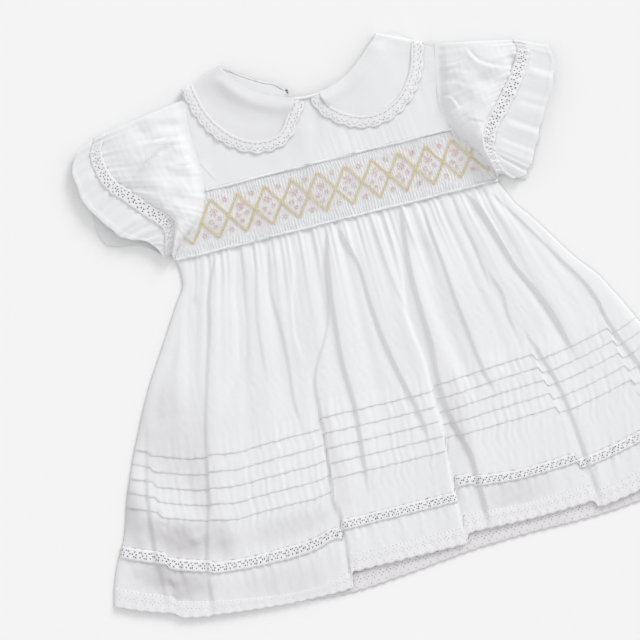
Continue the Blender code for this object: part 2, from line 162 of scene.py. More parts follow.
def new_group(name, ins, outs):
    group = bpy.data.node_groups.new(name, "ShaderNodeTree")
    for socket, kind, value in ins:
        made = group.interface.new_socket(socket, in_out="INPUT", socket_type=kind)
        made.default_value = value
    for socket, kind in outs:
        group.interface.new_socket(socket, in_out="OUTPUT", socket_type=kind)
    return group, group.nodes.new("NodeGroupInput"), group.nodes.new("NodeGroupOutput")


def math_node(tree, operation, first, second=None):
    node = tree.nodes.new("ShaderNodeMath")
    node.operation = operation
    for socket, value in zip(node.inputs, (first, second)):
        if isinstance(value, (int, float)):
            socket.default_value = value
        elif value is not None:
            tree.links.new(value, socket)
    return node.outputs[0]


def make_weave_group():
    """Height of a plain weave from UV in metres, and a slow tone that varies from 0 to 1."""
    group, inputs, outputs = new_group(
        "plain_weave",
        [("Thread", "NodeSocketFloat", THREAD), ("Slub", "NodeSocketFloat", 0.35)],
        [("Height", "NodeSocketFloat"), ("Tone", "NodeSocketFloat")],
    )
    uv = group.nodes.new("ShaderNodeUVMap")
    split = group.nodes.new("ShaderNodeSeparateXYZ")
    group.links.new(uv.outputs["UV"], split.inputs[0])
    turns = []
    for axis in ("X", "Y"):
        share = math_node(group, "DIVIDE", split.outputs[axis], inputs.outputs["Thread"])
        turns.append(math_node(group, "MULTIPLY", share, math.pi))
    warp = math_node(group, "SINE", turns[0])
    weft = math_node(group, "SINE", turns[1])
    crossing = math_node(group, "MULTIPLY", warp, weft)
    slub = group.nodes.new("ShaderNodeTexNoise")
    slub.inputs["Scale"].default_value = 900.0
    slub.inputs["Detail"].default_value = 2.0
    group.links.new(uv.outputs["UV"], slub.inputs["Vector"])
    uneven = math_node(group, "MULTIPLY", slub.outputs["Fac"], inputs.outputs["Slub"])
    height = math_node(group, "ADD", math_node(group, "ABSOLUTE", crossing), uneven)
    tone = group.nodes.new("ShaderNodeTexNoise")
    tone.inputs["Scale"].default_value = 14.0
    tone.inputs["Detail"].default_value = 3.0
    group.links.new(uv.outputs["UV"], tone.inputs["Vector"])
    group.links.new(height, outputs.inputs["Height"])
    group.links.new(tone.outputs["Fac"], outputs.inputs["Tone"])
    return group


weave_group = make_weave_group()


def cotton(name, light, dark, roughness=0.9, bump=0.00006, thread=THREAD, sheen=0.12):
    """A matt cotton whose colour moves a little between light and dark."""
    made = bpy.data.materials.new(name)
    made.use_nodes = True
    tree = made.node_tree
    shader = tree.nodes["Principled BSDF"]
    weave = tree.nodes.new("ShaderNodeGroup")
    weave.node_tree = weave_group
    weave.inputs["Thread"].default_value = thread
    ramp = tree.nodes.new("ShaderNodeValToRGB")
    ramp.color_ramp.elements[0].position = 0.3
    ramp.color_ramp.elements[0].color = dark
    ramp.color_ramp.elements[1].position = 0.7
    ramp.color_ramp.elements[1].color = light
    tree.links.new(weave.outputs["Tone"], ramp.inputs["Fac"])
    # Painted shade: the painted_shade attribute mixes the colour towards the grey SHADE_UNDER.
    painted_shade = tree.nodes.new("ShaderNodeAttribute")
    painted_shade.attribute_name = "painted_shade"
    under = tree.nodes.new("ShaderNodeMix")
    under.data_type = "RGBA"
    under.inputs["B"].default_value = SHADE_UNDER
    tree.links.new(painted_shade.outputs["Fac"], under.inputs["Factor"])
    tree.links.new(ramp.outputs["Color"], under.inputs["A"])
    tree.links.new(under.outputs["Result"], shader.inputs["Base Color"])
    relief = tree.nodes.new("ShaderNodeBump")
    relief.inputs["Distance"].default_value = bump
    relief.inputs["Strength"].default_value = 0.8
    tree.links.new(weave.outputs["Height"], relief.inputs["Height"])
    tree.links.new(relief.outputs["Normal"], shader.inputs["Normal"])
    shader.inputs["Roughness"].default_value = roughness
    shader.inputs["Specular IOR Level"].default_value = 0.15
    shader.inputs["Sheen Weight"].default_value = sheen
    shader.inputs["Sheen Roughness"].default_value = 0.5
    return made


SHADE_UNDER = (0.585, 0.572, 0.588, 1.0)  # the grey that painted patches are mixed with
WHITE_LIGHT = (0.845, 0.848, 0.862, 1.0)
WHITE_DARK = (0.822, 0.824, 0.838, 1.0)
lawn = cotton("white_cotton_lawn", WHITE_LIGHT, WHITE_DARK)
# Painted shade: the same cotton and lace where they lie in shade, under the front: a darker colour, not
# a darker light.
lawn_painted_shade = cotton("white_cotton_painted_shade", (0.77, 0.76, 0.78, 1.0), (0.73, 0.72, 0.74, 1.0))
lace_painted_shade = cotton("cotton_lace_painted_shade", (0.80, 0.785, 0.81, 1.0), (0.75, 0.735, 0.76, 1.0))
lace_white = cotton(
    "cotton_lace_thread",
    (0.87, 0.865, 0.88, 1.0),
    (0.83, 0.825, 0.84, 1.0),
    bump=0.00012,
    thread=0.0008,
)
cord_white = cotton("piping_cotton", (0.88, 0.88, 0.885, 1.0), (0.85, 0.85, 0.86, 1.0), thread=0.0005)
gold_floss = cotton(
    "gold_floss",
    (0.90, 0.79, 0.53, 1.0),
    (0.83, 0.70, 0.43, 1.0),
    roughness=0.6,
    bump=0.00010,
    thread=0.0006,
    sheen=0.3,
)
pink_floss = cotton(
    "pink_floss",
    (0.91, 0.72, 0.69, 1.0),
    (0.86, 0.62, 0.59, 1.0),
    roughness=0.6,
    bump=0.00010,
    thread=0.0006,
    sheen=0.3,
)

# %% [markdown]
# ## Helpers for cloth
#
# Each panel of cloth starts as a flat grid.  A function then says where each of its points goes,
# from how far it is across and along the panel, which keeps the panel one whole sheet whatever
# folds it gets.  The points are worked out together as arrays, which is fast enough to give even
# the finest gathers their own rows of faces.


# %% Helpers for cloth
def smooth(low, high, value):
    share = np.clip((value - low) / (high - low), 0.0, 1.0)
    return share * share * (3 - 2 * share)


def mix(first, second, share):
    return first + (second - first) * share


def column(table, key, name, value):
    """Reads a named column of a table along a smooth curve through its rows."""
    keys = np.array([row[key] for row in table])
    values = np.array([row[name] for row in table])
    slopes = np.gradient(values, keys)
    value = np.clip(value, keys[0], keys[-1])
    place = np.clip(np.searchsorted(keys, value) - 1, 0, len(keys) - 2)
    span = keys[place + 1] - keys[place]
    share = (value - keys[place]) / span
    h00 = (1 + 2 * share) * (1 - share) ** 2
    h10 = share * (1 - share) ** 2
    h01 = share**2 * (3 - 2 * share)
    h11 = share**2 * (share - 1)
    return (
        h00 * values[place]
        + h10 * span * slopes[place]
        + h01 * values[place + 1]
        + h11 * span * slopes[place + 1]
    )


def ripple(value, spacing, seed, drift=0.35):
    """An uneven wave, -1 to 1: its crests are about this far apart, but never evenly."""
    rng = np.random.default_rng(seed)
    turn = 2 * math.pi * value / spacing
    total = np.zeros_like(value)
    for share, weight in ((1.0, 1.0), (0.61, 0.55), (1.43, 0.45), (0.37, 0.4)):
        phase = rng.uniform(0, 2 * math.pi)
        wander = drift * np.sin(turn * share * 0.17 + rng.uniform(0, 2 * math.pi))
        total = total + weight * np.sin(turn * share + phase + wander)
    return total / 2.4


def cloth_sheet(name, columns, rows, place, finish, wall=0.0, closed=False, painted_shade=None):
    """A grid of cloth whose points are put where place(across, along) says, each from 0 to 1."""
    bm = bmesh.new()
    bmesh.ops.create_grid(bm, x_segments=columns, y_segments=rows, size=0.5)
    mesh = bpy.data.meshes.new(name)
    bm.to_mesh(mesh)
    bm.free()
    flat = np.empty(len(mesh.vertices) * 3)
    mesh.vertices.foreach_get("co", flat)
    across = flat[0::3] + 0.5
    along = flat[1::3] + 0.5
    x, y, z, u, v = place(across, along)
    mesh.vertices.foreach_set("co", np.stack([x, y, z], axis=1).ravel())
    add_uv(mesh, u, v)
    # Painted shade: painted_shade(u, v) gives how far each point's colour is mixed towards a grey.
    if painted_shade:
        layer = mesh.attributes.new("painted_shade", "FLOAT", "POINT")
        layer.data.foreach_set("value", painted_shade(u, v))
    if closed:
        bm = bmesh.new()
        bm.from_mesh(mesh)
        bmesh.ops.remove_doubles(bm, verts=bm.verts, dist=1e-6)
        bm.to_mesh(mesh)
        bm.free()
    return finish_piece(name, mesh, finish, wall)


def add_uv(mesh, u, v):
    layer = mesh.uv_layers.new(name="UVMap")
    corners = np.empty(len(mesh.loops), dtype=np.int32)
    mesh.loops.foreach_get("vertex_index", corners)
    layer.data.foreach_set("uv", np.stack([u[corners], v[corners]], axis=1).ravel())


def finish_piece(name, mesh, finish, wall=0.0):
    mesh.materials.append(finish)
    mesh.shade_smooth()
    piece = bpy.data.objects.new(name, mesh)
    scene.collection.objects.link(piece)
    if wall:
        thickness = piece.modifiers.new("Thickness", "SOLIDIFY")
        thickness.thickness = wall
        thickness.offset = 0.0
    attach(piece, "root")
    return piece


# %% [markdown]
# ## The skirt's plan
#
# The skirt is a flared tube of cloth gathered into the waist.  Laid flat, its two sides spread
# like a fan, and its rows of tucks and lace are gentle arcs.  Where the cloth folds over itself
# the rows step, and that is written in a table of steps: left of each step the rows hang lower.


# %% The skirt's plan
SKIRT_EDGES = (
    {"drop": 0.000, "left": -0.1465, "right": 0.1350, "rise": 0.000},
    {"drop": 0.012, "left": -0.1455, "right": 0.1400, "rise": 0.001},
    {"drop": 0.022, "left": -0.1460, "right": 0.1445, "rise": 0.001},
    {"drop": 0.040, "left": -0.1560, "right": 0.1560, "rise": 0.003},
    {"drop": 0.075, "left": -0.1755, "right": 0.1760, "rise": 0.007},
    {"drop": 0.110, "left": -0.1945, "right": 0.1940, "rise": 0.012},
    {"drop": 0.163, "left": -0.2175, "right": 0.2190, "rise": 0.020},
    {"drop": 0.215, "left": -0.2370, "right": 0.2390, "rise": 0.026},
    {"drop": 0.250, "left": -0.2480, "right": 0.2500, "rise": 0.029},
    {"drop": 0.275, "left": -0.2600, "right": 0.2620, "rise": 0.031},
    {"drop": 0.310, "left": -0.2710, "right": 0.2740, "rise": 0.032},
)
ROW_DROPS = (0.1685, 0.2200, 0.2545, 0.3000)  # first tuck, fifth tuck, lace insertion, hem
ROW_STEPS = (
    {"x_at_tucks": -0.2080, "x_at_hem": -0.2180, "lifts": (-0.004, -0.004, -0.004, -0.004),
     "fades": (0.35, 0.35, 0.35, 0.35)},
    {"x_at_tucks": -0.1590, "x_at_hem": -0.1900, "lifts": (0.002, 0.001, -0.002, 0.001),
     "fades": (0.35, 0.35, 0.35, 0.35)},
    {"x_at_tucks": -0.0610, "x_at_hem": -0.0665, "lifts": (0.0095, 0.0095, 0.0095, 0.0135),
     "fades": (0.10, 0.05, 0.0, 0.0)},
    {"x_at_tucks": 0.0395, "x_at_hem": 0.0370, "lifts": (0.0045, 0.0110, 0.0130, 0.0085),
     "fades": (-0.70, -0.10, 0.42, 0.20)},
    {"x_at_tucks": 0.0445, "x_at_hem": 0.0560, "lifts": (0.0, -0.001, -0.003, 0.0),
     "fades": (0.0, 0.0, 0.0, 0.0)},
    {"x_at_tucks": 0.1280, "x_at_hem": 0.1500, "lifts": (-0.006, -0.006, -0.006, -0.007),
     "fades": (0.35, 0.35, 0.35, 0.35)},
    {"x_at_tucks": 0.1950, "x_at_hem": 0.2200, "lifts": (-0.006, -0.006, -0.006, -0.006),
     "fades": (0.35, 0.35, 0.35, 0.35)},
)
ROW_SAGS = (
    {"drop": 0.1500, "line": ((0.000, -0.230), (0.000, -0.150), (0.000, -0.050))},
    {"drop": 0.1685, "line": ((0.000, -0.225), (0.001, -0.200), (0.0042, -0.170), (0.0040, -0.158),
                              (0.0052, -0.136), (0.0026, -0.118), (0.0005, -0.090), (0.000, -0.063))},
    {"drop": 0.2200, "line": ((0.000, -0.245), (0.001, -0.215), (0.0048, -0.182), (0.0064, -0.170),
                              (0.0085, -0.148), (0.0058, -0.131), (0.0040, -0.100),
                              (0.0034, -0.078), (0.000, -0.062))},
    {"drop": 0.2590, "line": ((0.000, -0.250), (0.001, -0.215), (0.0048, -0.182), (0.0048, -0.154),
                              (0.0033, -0.126), (-0.0005, -0.089), (-0.0050, -0.071),
                              (0.000, -0.062))},
    {"drop": 0.2895, "line": ((0.000, -0.260), (0.002, -0.215), (0.0060, -0.160), (0.0045, -0.080),
                              (0.000, -0.066))},
    {"drop": 0.3060, "line": ((0.000, -0.260), (0.000, -0.150), (0.000, -0.050))},
)
STEPS_START = 0.075  # the steps grow from nothing here
STEPS_WHOLE = 0.150
TUCKS_DROP = 0.160
HEM_DROP = 0.300


def skirt_x(share, drop):
    left = column(SKIRT_EDGES, "drop", "left", drop)
    right = column(SKIRT_EDGES, "drop", "right", drop)
    return mix(left, right, share)


def edge_distance(x, drop):
    """How far a point is from the nearer side of the skirt."""
    left = column(SKIRT_EDGES, "drop", "left", drop)
    right = column(SKIRT_EDGES, "drop", "right", drop)
    return np.minimum(x - left, right - x)


def along_line(points, key):
    """Where a line of (value, key) points is, at each key, on a smooth curve through them."""
    table = [{"key": second, "value": first} for first, second in points]
    return column(table, "key", "value", key)


def row_sag(x, drop):
    """How far the rows hang low between two folds, where the cloth was not pulled straight."""
    total = np.zeros_like(x)
    for first, second in zip(ROW_SAGS, ROW_SAGS[1:]):
        share = (drop - first["drop"]) / (second["drop"] - first["drop"])
        here = mix(along_line(first["line"], x), along_line(second["line"], x), share)
        total = np.where((share >= 0) & (share < 1), here, total)
    return total


def row_lift(x, drop):
    """How far a row of the front skirt is lifted by the folds to its left."""
    whole = smooth(STEPS_START, STEPS_WHOLE, drop)
    down = np.clip((drop - TUCKS_DROP) / (HEM_DROP - TUCKS_DROP), 0.0, 1.0)
    total = np.zeros_like(x)
    for step in ROW_STEPS:
        at = mix(step["x_at_tucks"], step["x_at_hem"], down)
        lift = np.interp(drop, ROW_DROPS, step["lifts"])
        lift = lift * smooth(0.0, 0.016, edge_distance(at, drop))
        fade = np.interp(drop, ROW_DROPS, step["fades"])
        past = x - at
        total = total + lift * (smooth(-0.0012, 0.0012, past) - fade * smooth(0.0, 0.065, past))
    return total * whole - row_sag(x, drop)


def skirt_y(x, drop, lower=0.0):
    left = column(SKIRT_EDGES, "drop", "left", drop)
    right = column(SKIRT_EDGES, "drop", "right", drop)
    half = np.where(x < 0, -left, right)
    rise = column(SKIRT_EDGES, "drop", "rise", drop)
    return WAIST_Y - drop - lower + rise * np.abs(x / half) ** 4

# %% [markdown]
# ## Folds
#
# Cloth that is gathered into a seam falls in folds that start sharp and fade away.  Each fold here
# is one row of a table: a line down the skirt, how high the cloth stands beside it, and how far
# that height takes to fall away again.  A fold with a side has a steep face along its line and a
# long slope away from it, which is how soft cloth lies when it is smoothed out by hand.  A fold
# with no side is a plain soft hollow.

# %% Folds of the skirt
SKIRT_FOLDS = (
    {"line": ((-0.137, 0.006), (-0.150, 0.042), (-0.166, 0.075), (-0.188, 0.112), (-0.202, 0.150)),
     "side": 0, "depth": 0.0022, "reach": 0.007},
    {"line": ((-0.113, 0.001), (-0.119, 0.014), (-0.128, 0.036), (-0.133, 0.059), (-0.143, 0.094),
              (-0.155, 0.139), (-0.163, 0.167), (-0.171, 0.204), (-0.184, 0.253), (-0.190, 0.310)),
     "side": 1, "depth": 0.0026, "reach": 0.016},
    {"line": ((-0.140, 0.036), (-0.151, 0.079), (-0.159, 0.115), (-0.164, 0.150), (-0.172, 0.180)),
     "side": 0, "depth": 0.0024, "reach": 0.008},
    {"line": ((-0.096, 0.008), (-0.102, 0.042), (-0.104, 0.066), (-0.111, 0.089), (-0.122, 0.111),
              (-0.138, 0.145)),
     "side": 0, "depth": 0.0018, "reach": 0.006},
    {"line": ((-0.086, 0.028), (-0.094, 0.069), (-0.096, 0.093), (-0.098, 0.124)),
     "side": 1, "depth": 0.0012, "reach": 0.006},
    {"line": ((-0.070, 0.010), (-0.077, 0.049), (-0.076, 0.068), (-0.077, 0.110), (-0.080, 0.145),
              (-0.078, 0.172)),
     "side": 1, "depth": 0.0019, "reach": 0.012},
    {"line": ((-0.045, 0.018), (-0.059, 0.065), (-0.062, 0.090), (-0.058, 0.118)),
     "side": -1, "depth": 0.0014, "reach": 0.009},
    {"line": ((-0.021, 0.020), (-0.028, 0.061), (-0.042, 0.098), (-0.058, 0.136), (-0.061, 0.165),
              (-0.063, 0.200), (-0.068, 0.227), (-0.065, 0.247), (-0.065, 0.270), (-0.070, 0.310)),
     "side": 1, "depth": 0.0024, "reach": 0.014},
    {"line": ((-0.016, 0.003), (-0.022, 0.024), (-0.027, 0.053), (-0.029, 0.077), (-0.031, 0.102),
              (-0.032, 0.128), (-0.031, 0.165), (-0.034, 0.205), (-0.038, 0.240)),
     "side": 1, "depth": 0.0036, "reach": 0.011},
    {"line": ((-0.010, 0.002), (-0.005, 0.018), (0.000, 0.036), (0.003, 0.075), (0.006, 0.108),
              (0.012, 0.148), (0.020, 0.180), (0.024, 0.215)),
     "side": 1, "depth": 0.0030, "reach": 0.009},
    {"line": ((0.022, 0.006), (0.023, 0.027), (0.026, 0.062), (0.033, 0.096)),
     "side": 1, "depth": 0.0012, "reach": 0.006},
    {"line": ((0.037, 0.002), (0.039, 0.036), (0.038, 0.065), (0.034, 0.087), (0.035, 0.109),
              (0.039, 0.145), (0.039, 0.175), (0.040, 0.205), (0.037, 0.240), (0.036, 0.300)),
     "side": -1, "depth": 0.0026, "reach": 0.010},
    {"line": ((0.048, 0.002), (0.045, 0.030), (0.043, 0.060), (0.044, 0.100), (0.045, 0.140),
              (0.043, 0.168), (0.046, 0.202), (0.055, 0.238), (0.056, 0.274), (0.056, 0.310)),
     "side": 1, "depth": 0.0038, "reach": 0.012},
    {"line": ((0.058, 0.030), (0.058, 0.070), (0.061, 0.110), (0.066, 0.150), (0.074, 0.190)),
     "side": 0, "depth": 0.0024, "reach": 0.006},
    {"line": ((0.067, 0.002), (0.068, 0.030), (0.071, 0.058), (0.074, 0.092), (0.077, 0.124),
              (0.081, 0.160), (0.090, 0.200)),
     "side": 1, "depth": 0.0026, "reach": 0.009},
    {"line": ((0.090, 0.003), (0.094, 0.026), (0.099, 0.043), (0.103, 0.068), (0.106, 0.100)),
     "side": 1, "depth": 0.0016, "reach": 0.008},
    {"line": ((0.104, 0.003), (0.113, 0.020), (0.121, 0.045), (0.130, 0.076), (0.141, 0.104),
              (0.152, 0.140), (0.162, 0.180)),
     "side": 1, "depth": 0.0036, "reach": 0.012},
    {"line": ((0.108, 0.076), (0.114, 0.101), (0.114, 0.126), (0.119, 0.160)),
     "side": 1, "depth": 0.0016, "reach": 0.009},
    {"line": ((0.124, 0.006), (0.150, 0.050), (0.176, 0.100), (0.196, 0.160), (0.222, 0.240),
              (0.234, 0.310)),
     "side": 1, "depth": 0.0024, "reach": 0.014},
    {"line": ((0.131, 0.010), (0.160, 0.050), (0.190, 0.100), (0.212, 0.150)),
     "side": 0, "depth": 0.0020, "reach": 0.007},
    {"line": ((0.128, 0.150), (0.140, 0.190), (0.148, 0.240), (0.154, 0.310)),
     "side": 1, "depth": 0.0026, "reach": 0.014},
    {"line": ((-0.206, 0.140), (-0.212, 0.170), (-0.220, 0.205), (-0.224, 0.240), (-0.226, 0.300)),
     "side": 1, "depth": 0.0030, "reach": 0.020},
    {"line": ((-0.216, 0.135), (-0.229, 0.163), (-0.239, 0.187), (-0.247, 0.211), (-0.256, 0.250)),
     "side": 0, "depth": 0.0018, "reach": 0.006},
)
STEEP = 0.0032  # the width of a fold's steep face


def fold_height(x, drop, folds):
    total = np.zeros_like(x)
    for fold in folds:
        start = fold["line"][0][1]
        end = fold["line"][-1][1]
        inside = smooth(start - 0.004, start + 0.012, drop) * smooth(end + 0.004, end - 0.030, drop)
        apart = x - along_line(fold["line"], drop)
        if fold["side"]:
            out = apart * fold["side"]
            raised = smooth(0.0, STEEP, out) * np.exp(-np.clip(out - STEEP, 0, None) / fold["reach"])
            hollow = 0.45 * np.exp(-((apart / (1.6 * STEEP)) ** 2))
            total = total + inside * fold["depth"] * (raised - hollow)
        else:
            total = total - inside * fold["depth"] * np.exp(-((apart / fold["reach"]) ** 2))
    return total


# %% [markdown]
# ## How high the skirt stands
#
# The height of the front is a sum: the folds, the gathers that hang from the waist, the puckers
# that stitching draws up, and small crumples.  It is never less than the cloth under it.  The
# patches at the lower left, where the cloth is painted greyer, are a table too.

# %% Heights of the skirt
LAYER = 0.0016  # one layer of cloth and the air over it
BACK_HEIGHT = 0.0007  # middle of the back's cloth, which lies on the table
FRONT_BASE = 0.0034  # mean height of the front of the skirt
FIRST_TUCK = 0.1685
TUCK_SPACING = 0.0128
TUCKS = 5
INSERTION_TOP = 0.2545
BAND_TOP = 0.2633
HEM_LACE_TOP = 0.2895
HEM = 0.3045


# Painted shade: soft patches where the skirt's colour is mixed towards a grey; the crumples are deeper
# there too.
PAINTED_SHADE_PATCHES = (
    {"x": -0.200, "drop": 0.238, "wide": 0.026, "long": 0.015, "much": 1.05},
    {"x": -0.213, "drop": 0.275, "wide": 0.030, "long": 0.015, "much": 1.00},
    {"x": -0.236, "drop": 0.225, "wide": 0.012, "long": 0.034, "much": 0.80},
    {"x": -0.190, "drop": 0.148, "wide": 0.034, "long": 0.042, "much": 0.42},
    {"x": -0.172, "drop": 0.192, "wide": 0.012, "long": 0.036, "much": 0.35},
    {"x": -0.164, "drop": 0.238, "wide": 0.010, "long": 0.015, "much": 0.60},
    {"x": -0.108, "drop": 0.238, "wide": 0.042, "long": 0.011, "much": 0.36},
    {"x": -0.125, "drop": 0.280, "wide": 0.048, "long": 0.014, "much": 0.34},
    {"x": 0.085, "drop": 0.278, "wide": 0.030, "long": 0.016, "much": 0.40},
    {"x": 0.053, "drop": 0.205, "wide": 0.008, "long": 0.045, "much": 0.40},
    {"x": -0.056, "drop": 0.205, "wide": 0.006, "long": 0.045, "much": 0.30},
)


def pinched(wave):
    """The same wave with rounder crests and sharper hollows, as gathered cloth has."""
    return wave - 0.45 * (1 - wave) ** 2 + 0.45


def gathers(x, drop):
    """Fine gathers hanging from the waist, which die away down the skirt."""
    half = column(SKIRT_EDGES, "drop", "right", drop)
    fan = 1 + 0.5 * (half / SKIRT_EDGES[0]["right"] - 1)
    near = x / fan
    fine = ripple(near, 0.0056, 11) * np.exp(-drop / 0.028)
    middle = ripple(near, 0.0125, 12) * np.exp(-drop / 0.075)
    broad = ripple(near, 0.0300, 13) * smooth(0.0, 0.05, drop) * smooth(0.24, 0.10, drop)
    return 0.0007 * pinched(fine) + 0.0009 * pinched(middle) + 0.0009 * broad


def puckers(x, drop):
    """Small ripples that stitching draws up, round the tucks and the lace."""
    at_tucks = smooth(FIRST_TUCK - 0.022, FIRST_TUCK, drop) * smooth(0.240, 0.224, drop)
    at_lace = np.exp(-np.abs(drop - (INSERTION_TOP + 0.004)) / 0.010)
    patchy = 0.6 + 0.4 * ripple(x + 0.5 * drop, 0.060, 23)
    slanted = x + 0.10 * drop + 0.002 * ripple(drop, 0.021, 24)
    small = 0.6 * ripple(slanted, 0.0062, 21) + 0.4 * ripple(slanted + 0.9 * drop, 0.0135, 25)
    drawn = ripple(x + 0.12 * drop, 0.0074, 22)
    return 0.00110 * small * at_tucks * patchy + 0.00060 * drawn * at_lace


def painted_shade_mask(x, drop):
    """How much painted shade the cloth is given, from the table of patches.  No gap or light is worked
    out.
    """
    total = np.zeros_like(x)
    for patch in PAINTED_SHADE_PATCHES:
        away = ((x - patch["x"]) / patch["wide"]) ** 2 + ((drop - patch["drop"]) / patch["long"]) ** 2
        total = total + patch["much"] * np.exp(-(away**1.5))
    cloudy = 0.90 + 0.22 * ripple(x - 0.6 * drop, 0.016, 28) * ripple(drop + 0.3 * x, 0.020, 29)
    return np.clip(total * cloudy, 0.0, 1.0)


def front_skirt_height(x, drop):
    worn = 0.0007 * np.sin(x / 0.031 + 1.3) * np.sin(drop / 0.047 + 0.4)
    side = smooth(0.0, 0.018, edge_distance(x, drop))
    height = FRONT_BASE + side * (0.74 * fold_height(x, drop, SKIRT_FOLDS) + worn)
    height = height + side * (gathers(x, drop) + puckers(x, drop))
    crumpled = ripple(x + 0.7 * drop, 0.019, 26) * ripple(drop - 0.4 * x, 0.023, 27)
    height = height + side * 0.0024 * crumpled * painted_shade_mask(x, drop)
    rumpled = ripple(x + 0.3 * drop, 0.0078, 33) * ripple(drop - 0.25 * x, 0.0110, 34)
    height = height + side * 0.00030 * rumpled * smooth(0.03, 0.09, drop)
    height = height * mix(0.72, 1.0, smooth(0.0, 0.02, drop))
    height = np.maximum(height, LAYER + 0.0001 + 0.00008 * np.sin(x * 900))
    inward = 1 - np.clip(edge_distance(x, drop) / 0.008, 0.0, 1.0)
    return mix(BACK_HEIGHT, height, np.sqrt(1 - inward**2))


# %% [markdown]
# ## The front of the skirt
#
# The five pin tucks are folds of the same cloth, stitched down and pressed towards the hem.  In
# section a tuck is a ramp with an edge that hangs just over the cloth below.  So the panel's rows
# are not even: most are spaced evenly, and each tuck brings its own set, taken from a table of its
# section.

# %% Front skirt
TUCK_SECTION = (
    {"offset": -0.0110, "lift": 0.00010},
    {"offset": -0.0075, "lift": 0.00045},
    {"offset": -0.0040, "lift": 0.00080},
    {"offset": -0.0014, "lift": 0.00112},
    {"offset": 0.0000, "lift": 0.00112},
    {"offset": 0.0003, "lift": 0.00070},
    {"offset": -0.0003, "lift": 0.00015},
    {"offset": 0.0006, "lift": 0.00000},
)


def tucked_rows():
    """Drop and lift of each row of the front skirt."""
    top = 0.0010
    rows = [(drop, 0.0) for drop in np.arange(top, FIRST_TUCK - 0.0120, 0.0014)]
    for number in range(TUCKS):
        edge = FIRST_TUCK + number * TUCK_SPACING
        rows += [(edge + part["offset"], part["lift"]) for part in TUCK_SECTION]
    last = FIRST_TUCK + (TUCKS - 1) * TUCK_SPACING
    rows += [(drop, 0.0) for drop in np.arange(last + 0.0016, INSERTION_TOP, 0.0013)]
    return np.array(rows)


TUCKED_ROWS = tucked_rows()


def front_skirt_place(across, along):
    row = np.rint((1 - along) * (len(TUCKED_ROWS) - 1)).astype(int)
    drop = TUCKED_ROWS[row, 0]
    lift = TUCKED_ROWS[row, 1]
    x = skirt_x(across, drop)
    wavy = 0.00045 * ripple(x + 3.0 * drop, 0.0095, 31) * smooth(0.15, 0.17, drop)
    y = skirt_y(x, drop) + row_lift(x, drop) + wavy
    pressed = 0.62 + 0.38 * ripple(x + 5.0 * drop, 0.024, 32)
    z = front_skirt_height(x, drop) + lift * pressed
    return x, y, z, x, drop


FRONT_COLUMNS = 400
front_skirt = cloth_sheet(
    "front_skirt_cloth", FRONT_COLUMNS, len(TUCKED_ROWS) - 1, front_skirt_place, lawn,
    painted_shade=painted_shade_mask,
)
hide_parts("front_skirt")
print("front skirt:", len(front_skirt.data.polygons), "faces")

# %% [markdown]
# ## Lace
#
# Cotton lace is a net of thread whose holes follow a short pattern over and over.  Here the
# pattern is a small chart, as in a crochet book: each letter is one cell of the net, `o` for a hole
# and `.` for filled.  A flat strip of cells is made, each open cell is inset and its middle
# deleted, and only then is the strip bent to its place and given the thickness of its thread.

# %% Lace from a chart
INSERTION_CHART = (
    "...........",
    "o.oo..o.oo.",
    ".o..oo.o..o",
    "oo.o..oo.o.",
    "...........",
)
EDGING_CHART = (
    "o.o.o.o.",
    "........",
    "..o...o.",
    ".o.o.o.o",
    "..o...o.",
    "........",
    "o...o...",
    "........",
)
SLEEVE_CHART = (
    "........",
    ".o.o.o.o",
    "o.oo.o..",
    ".oo.o.oo",
    "o..o..o.",
    "........",
)
COLLAR_CHART = (
    "......",
    "o.oo.o",
    "......",
    ".o..o.",
    "o.oo.o",
    "......",
)


def lace_strip(name, length, width, cell, chart, place, thread=0.0006, hole=0.30, finish=lace_white):
    """A strip of net.  place gives x, y and z from how far a point is along and up the strip."""
    columns = round(length / cell)
    rows = len(chart)
    bm = bmesh.new()
    bmesh.ops.create_grid(bm, x_segments=columns, y_segments=rows, size=0.5)
    bmesh.ops.scale(bm, verts=bm.verts, vec=(columns, rows, 1.0))
    open_cells = []
    for face in bm.faces:
        middle = face.calc_center_median()
        across = int(middle.x + columns / 2)
        down = int(rows / 2 - middle.y)
        if chart[down][across % len(chart[0])] == "o":
            open_cells.append(face)
    bmesh.ops.inset_individual(bm, faces=open_cells, thickness=hole, use_even_offset=True)
    bmesh.ops.delete(bm, geom=open_cells, context="FACES")
    mesh = bpy.data.meshes.new(name)
    bm.to_mesh(mesh)
    bm.free()
    flat = np.empty(len(mesh.vertices) * 3)
    mesh.vertices.foreach_get("co", flat)
    along = flat[0::3] / columns + 0.5
    up = flat[1::3] / rows + 0.5
    x, y, z = place(along, up)
    mesh.vertices.foreach_set("co", np.stack([x, y, z], axis=1).ravel())
    add_uv(mesh, along * length, up * width)
    return finish_piece(name, mesh, finish, thread)


def front_row_place(top, bottom, wave=0.0, scallop=0.0, proud=0.0):
    """Places a strip of the front hem between two drops, proud of the cloth or not."""

    def place(along, up):
        drop = mix(bottom, top, up)
        x = skirt_x(along, drop)
        y = skirt_y(x, drop) + row_lift(x, drop)
        y = y - scallop * (1 - up) * np.abs(np.sin(math.pi * x / 0.0090))
        z = front_skirt_height(x, drop) + wave * ripple(x, 0.009, 41) * (1 - up)
        pulled = 0.0005 * ripple(x + 0.01 * up, 0.0070, 43) if proud else 0.0
        return x, y + pulled, z + proud * (1 + 0.7 * ripple(x + 0.02 * up, 0.0052, 42))

    return place


insertion = lace_strip(
    "front_lace_insertion",
    0.510,
    BAND_TOP - INSERTION_TOP,
    0.00165,
    INSERTION_CHART,
    front_row_place(INSERTION_TOP - 0.0008, BAND_TOP + 0.0008, proud=0.0007),
    thread=0.0008,
    hole=0.23,
)
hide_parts("front_insertion")

# %% [markdown]
# ## Hem band and hem lace
#
# Below the lace insertion the cloth goes on as a plain band, gathered a little where it is sewn to
# the lace, and it ends in a scalloped edging.


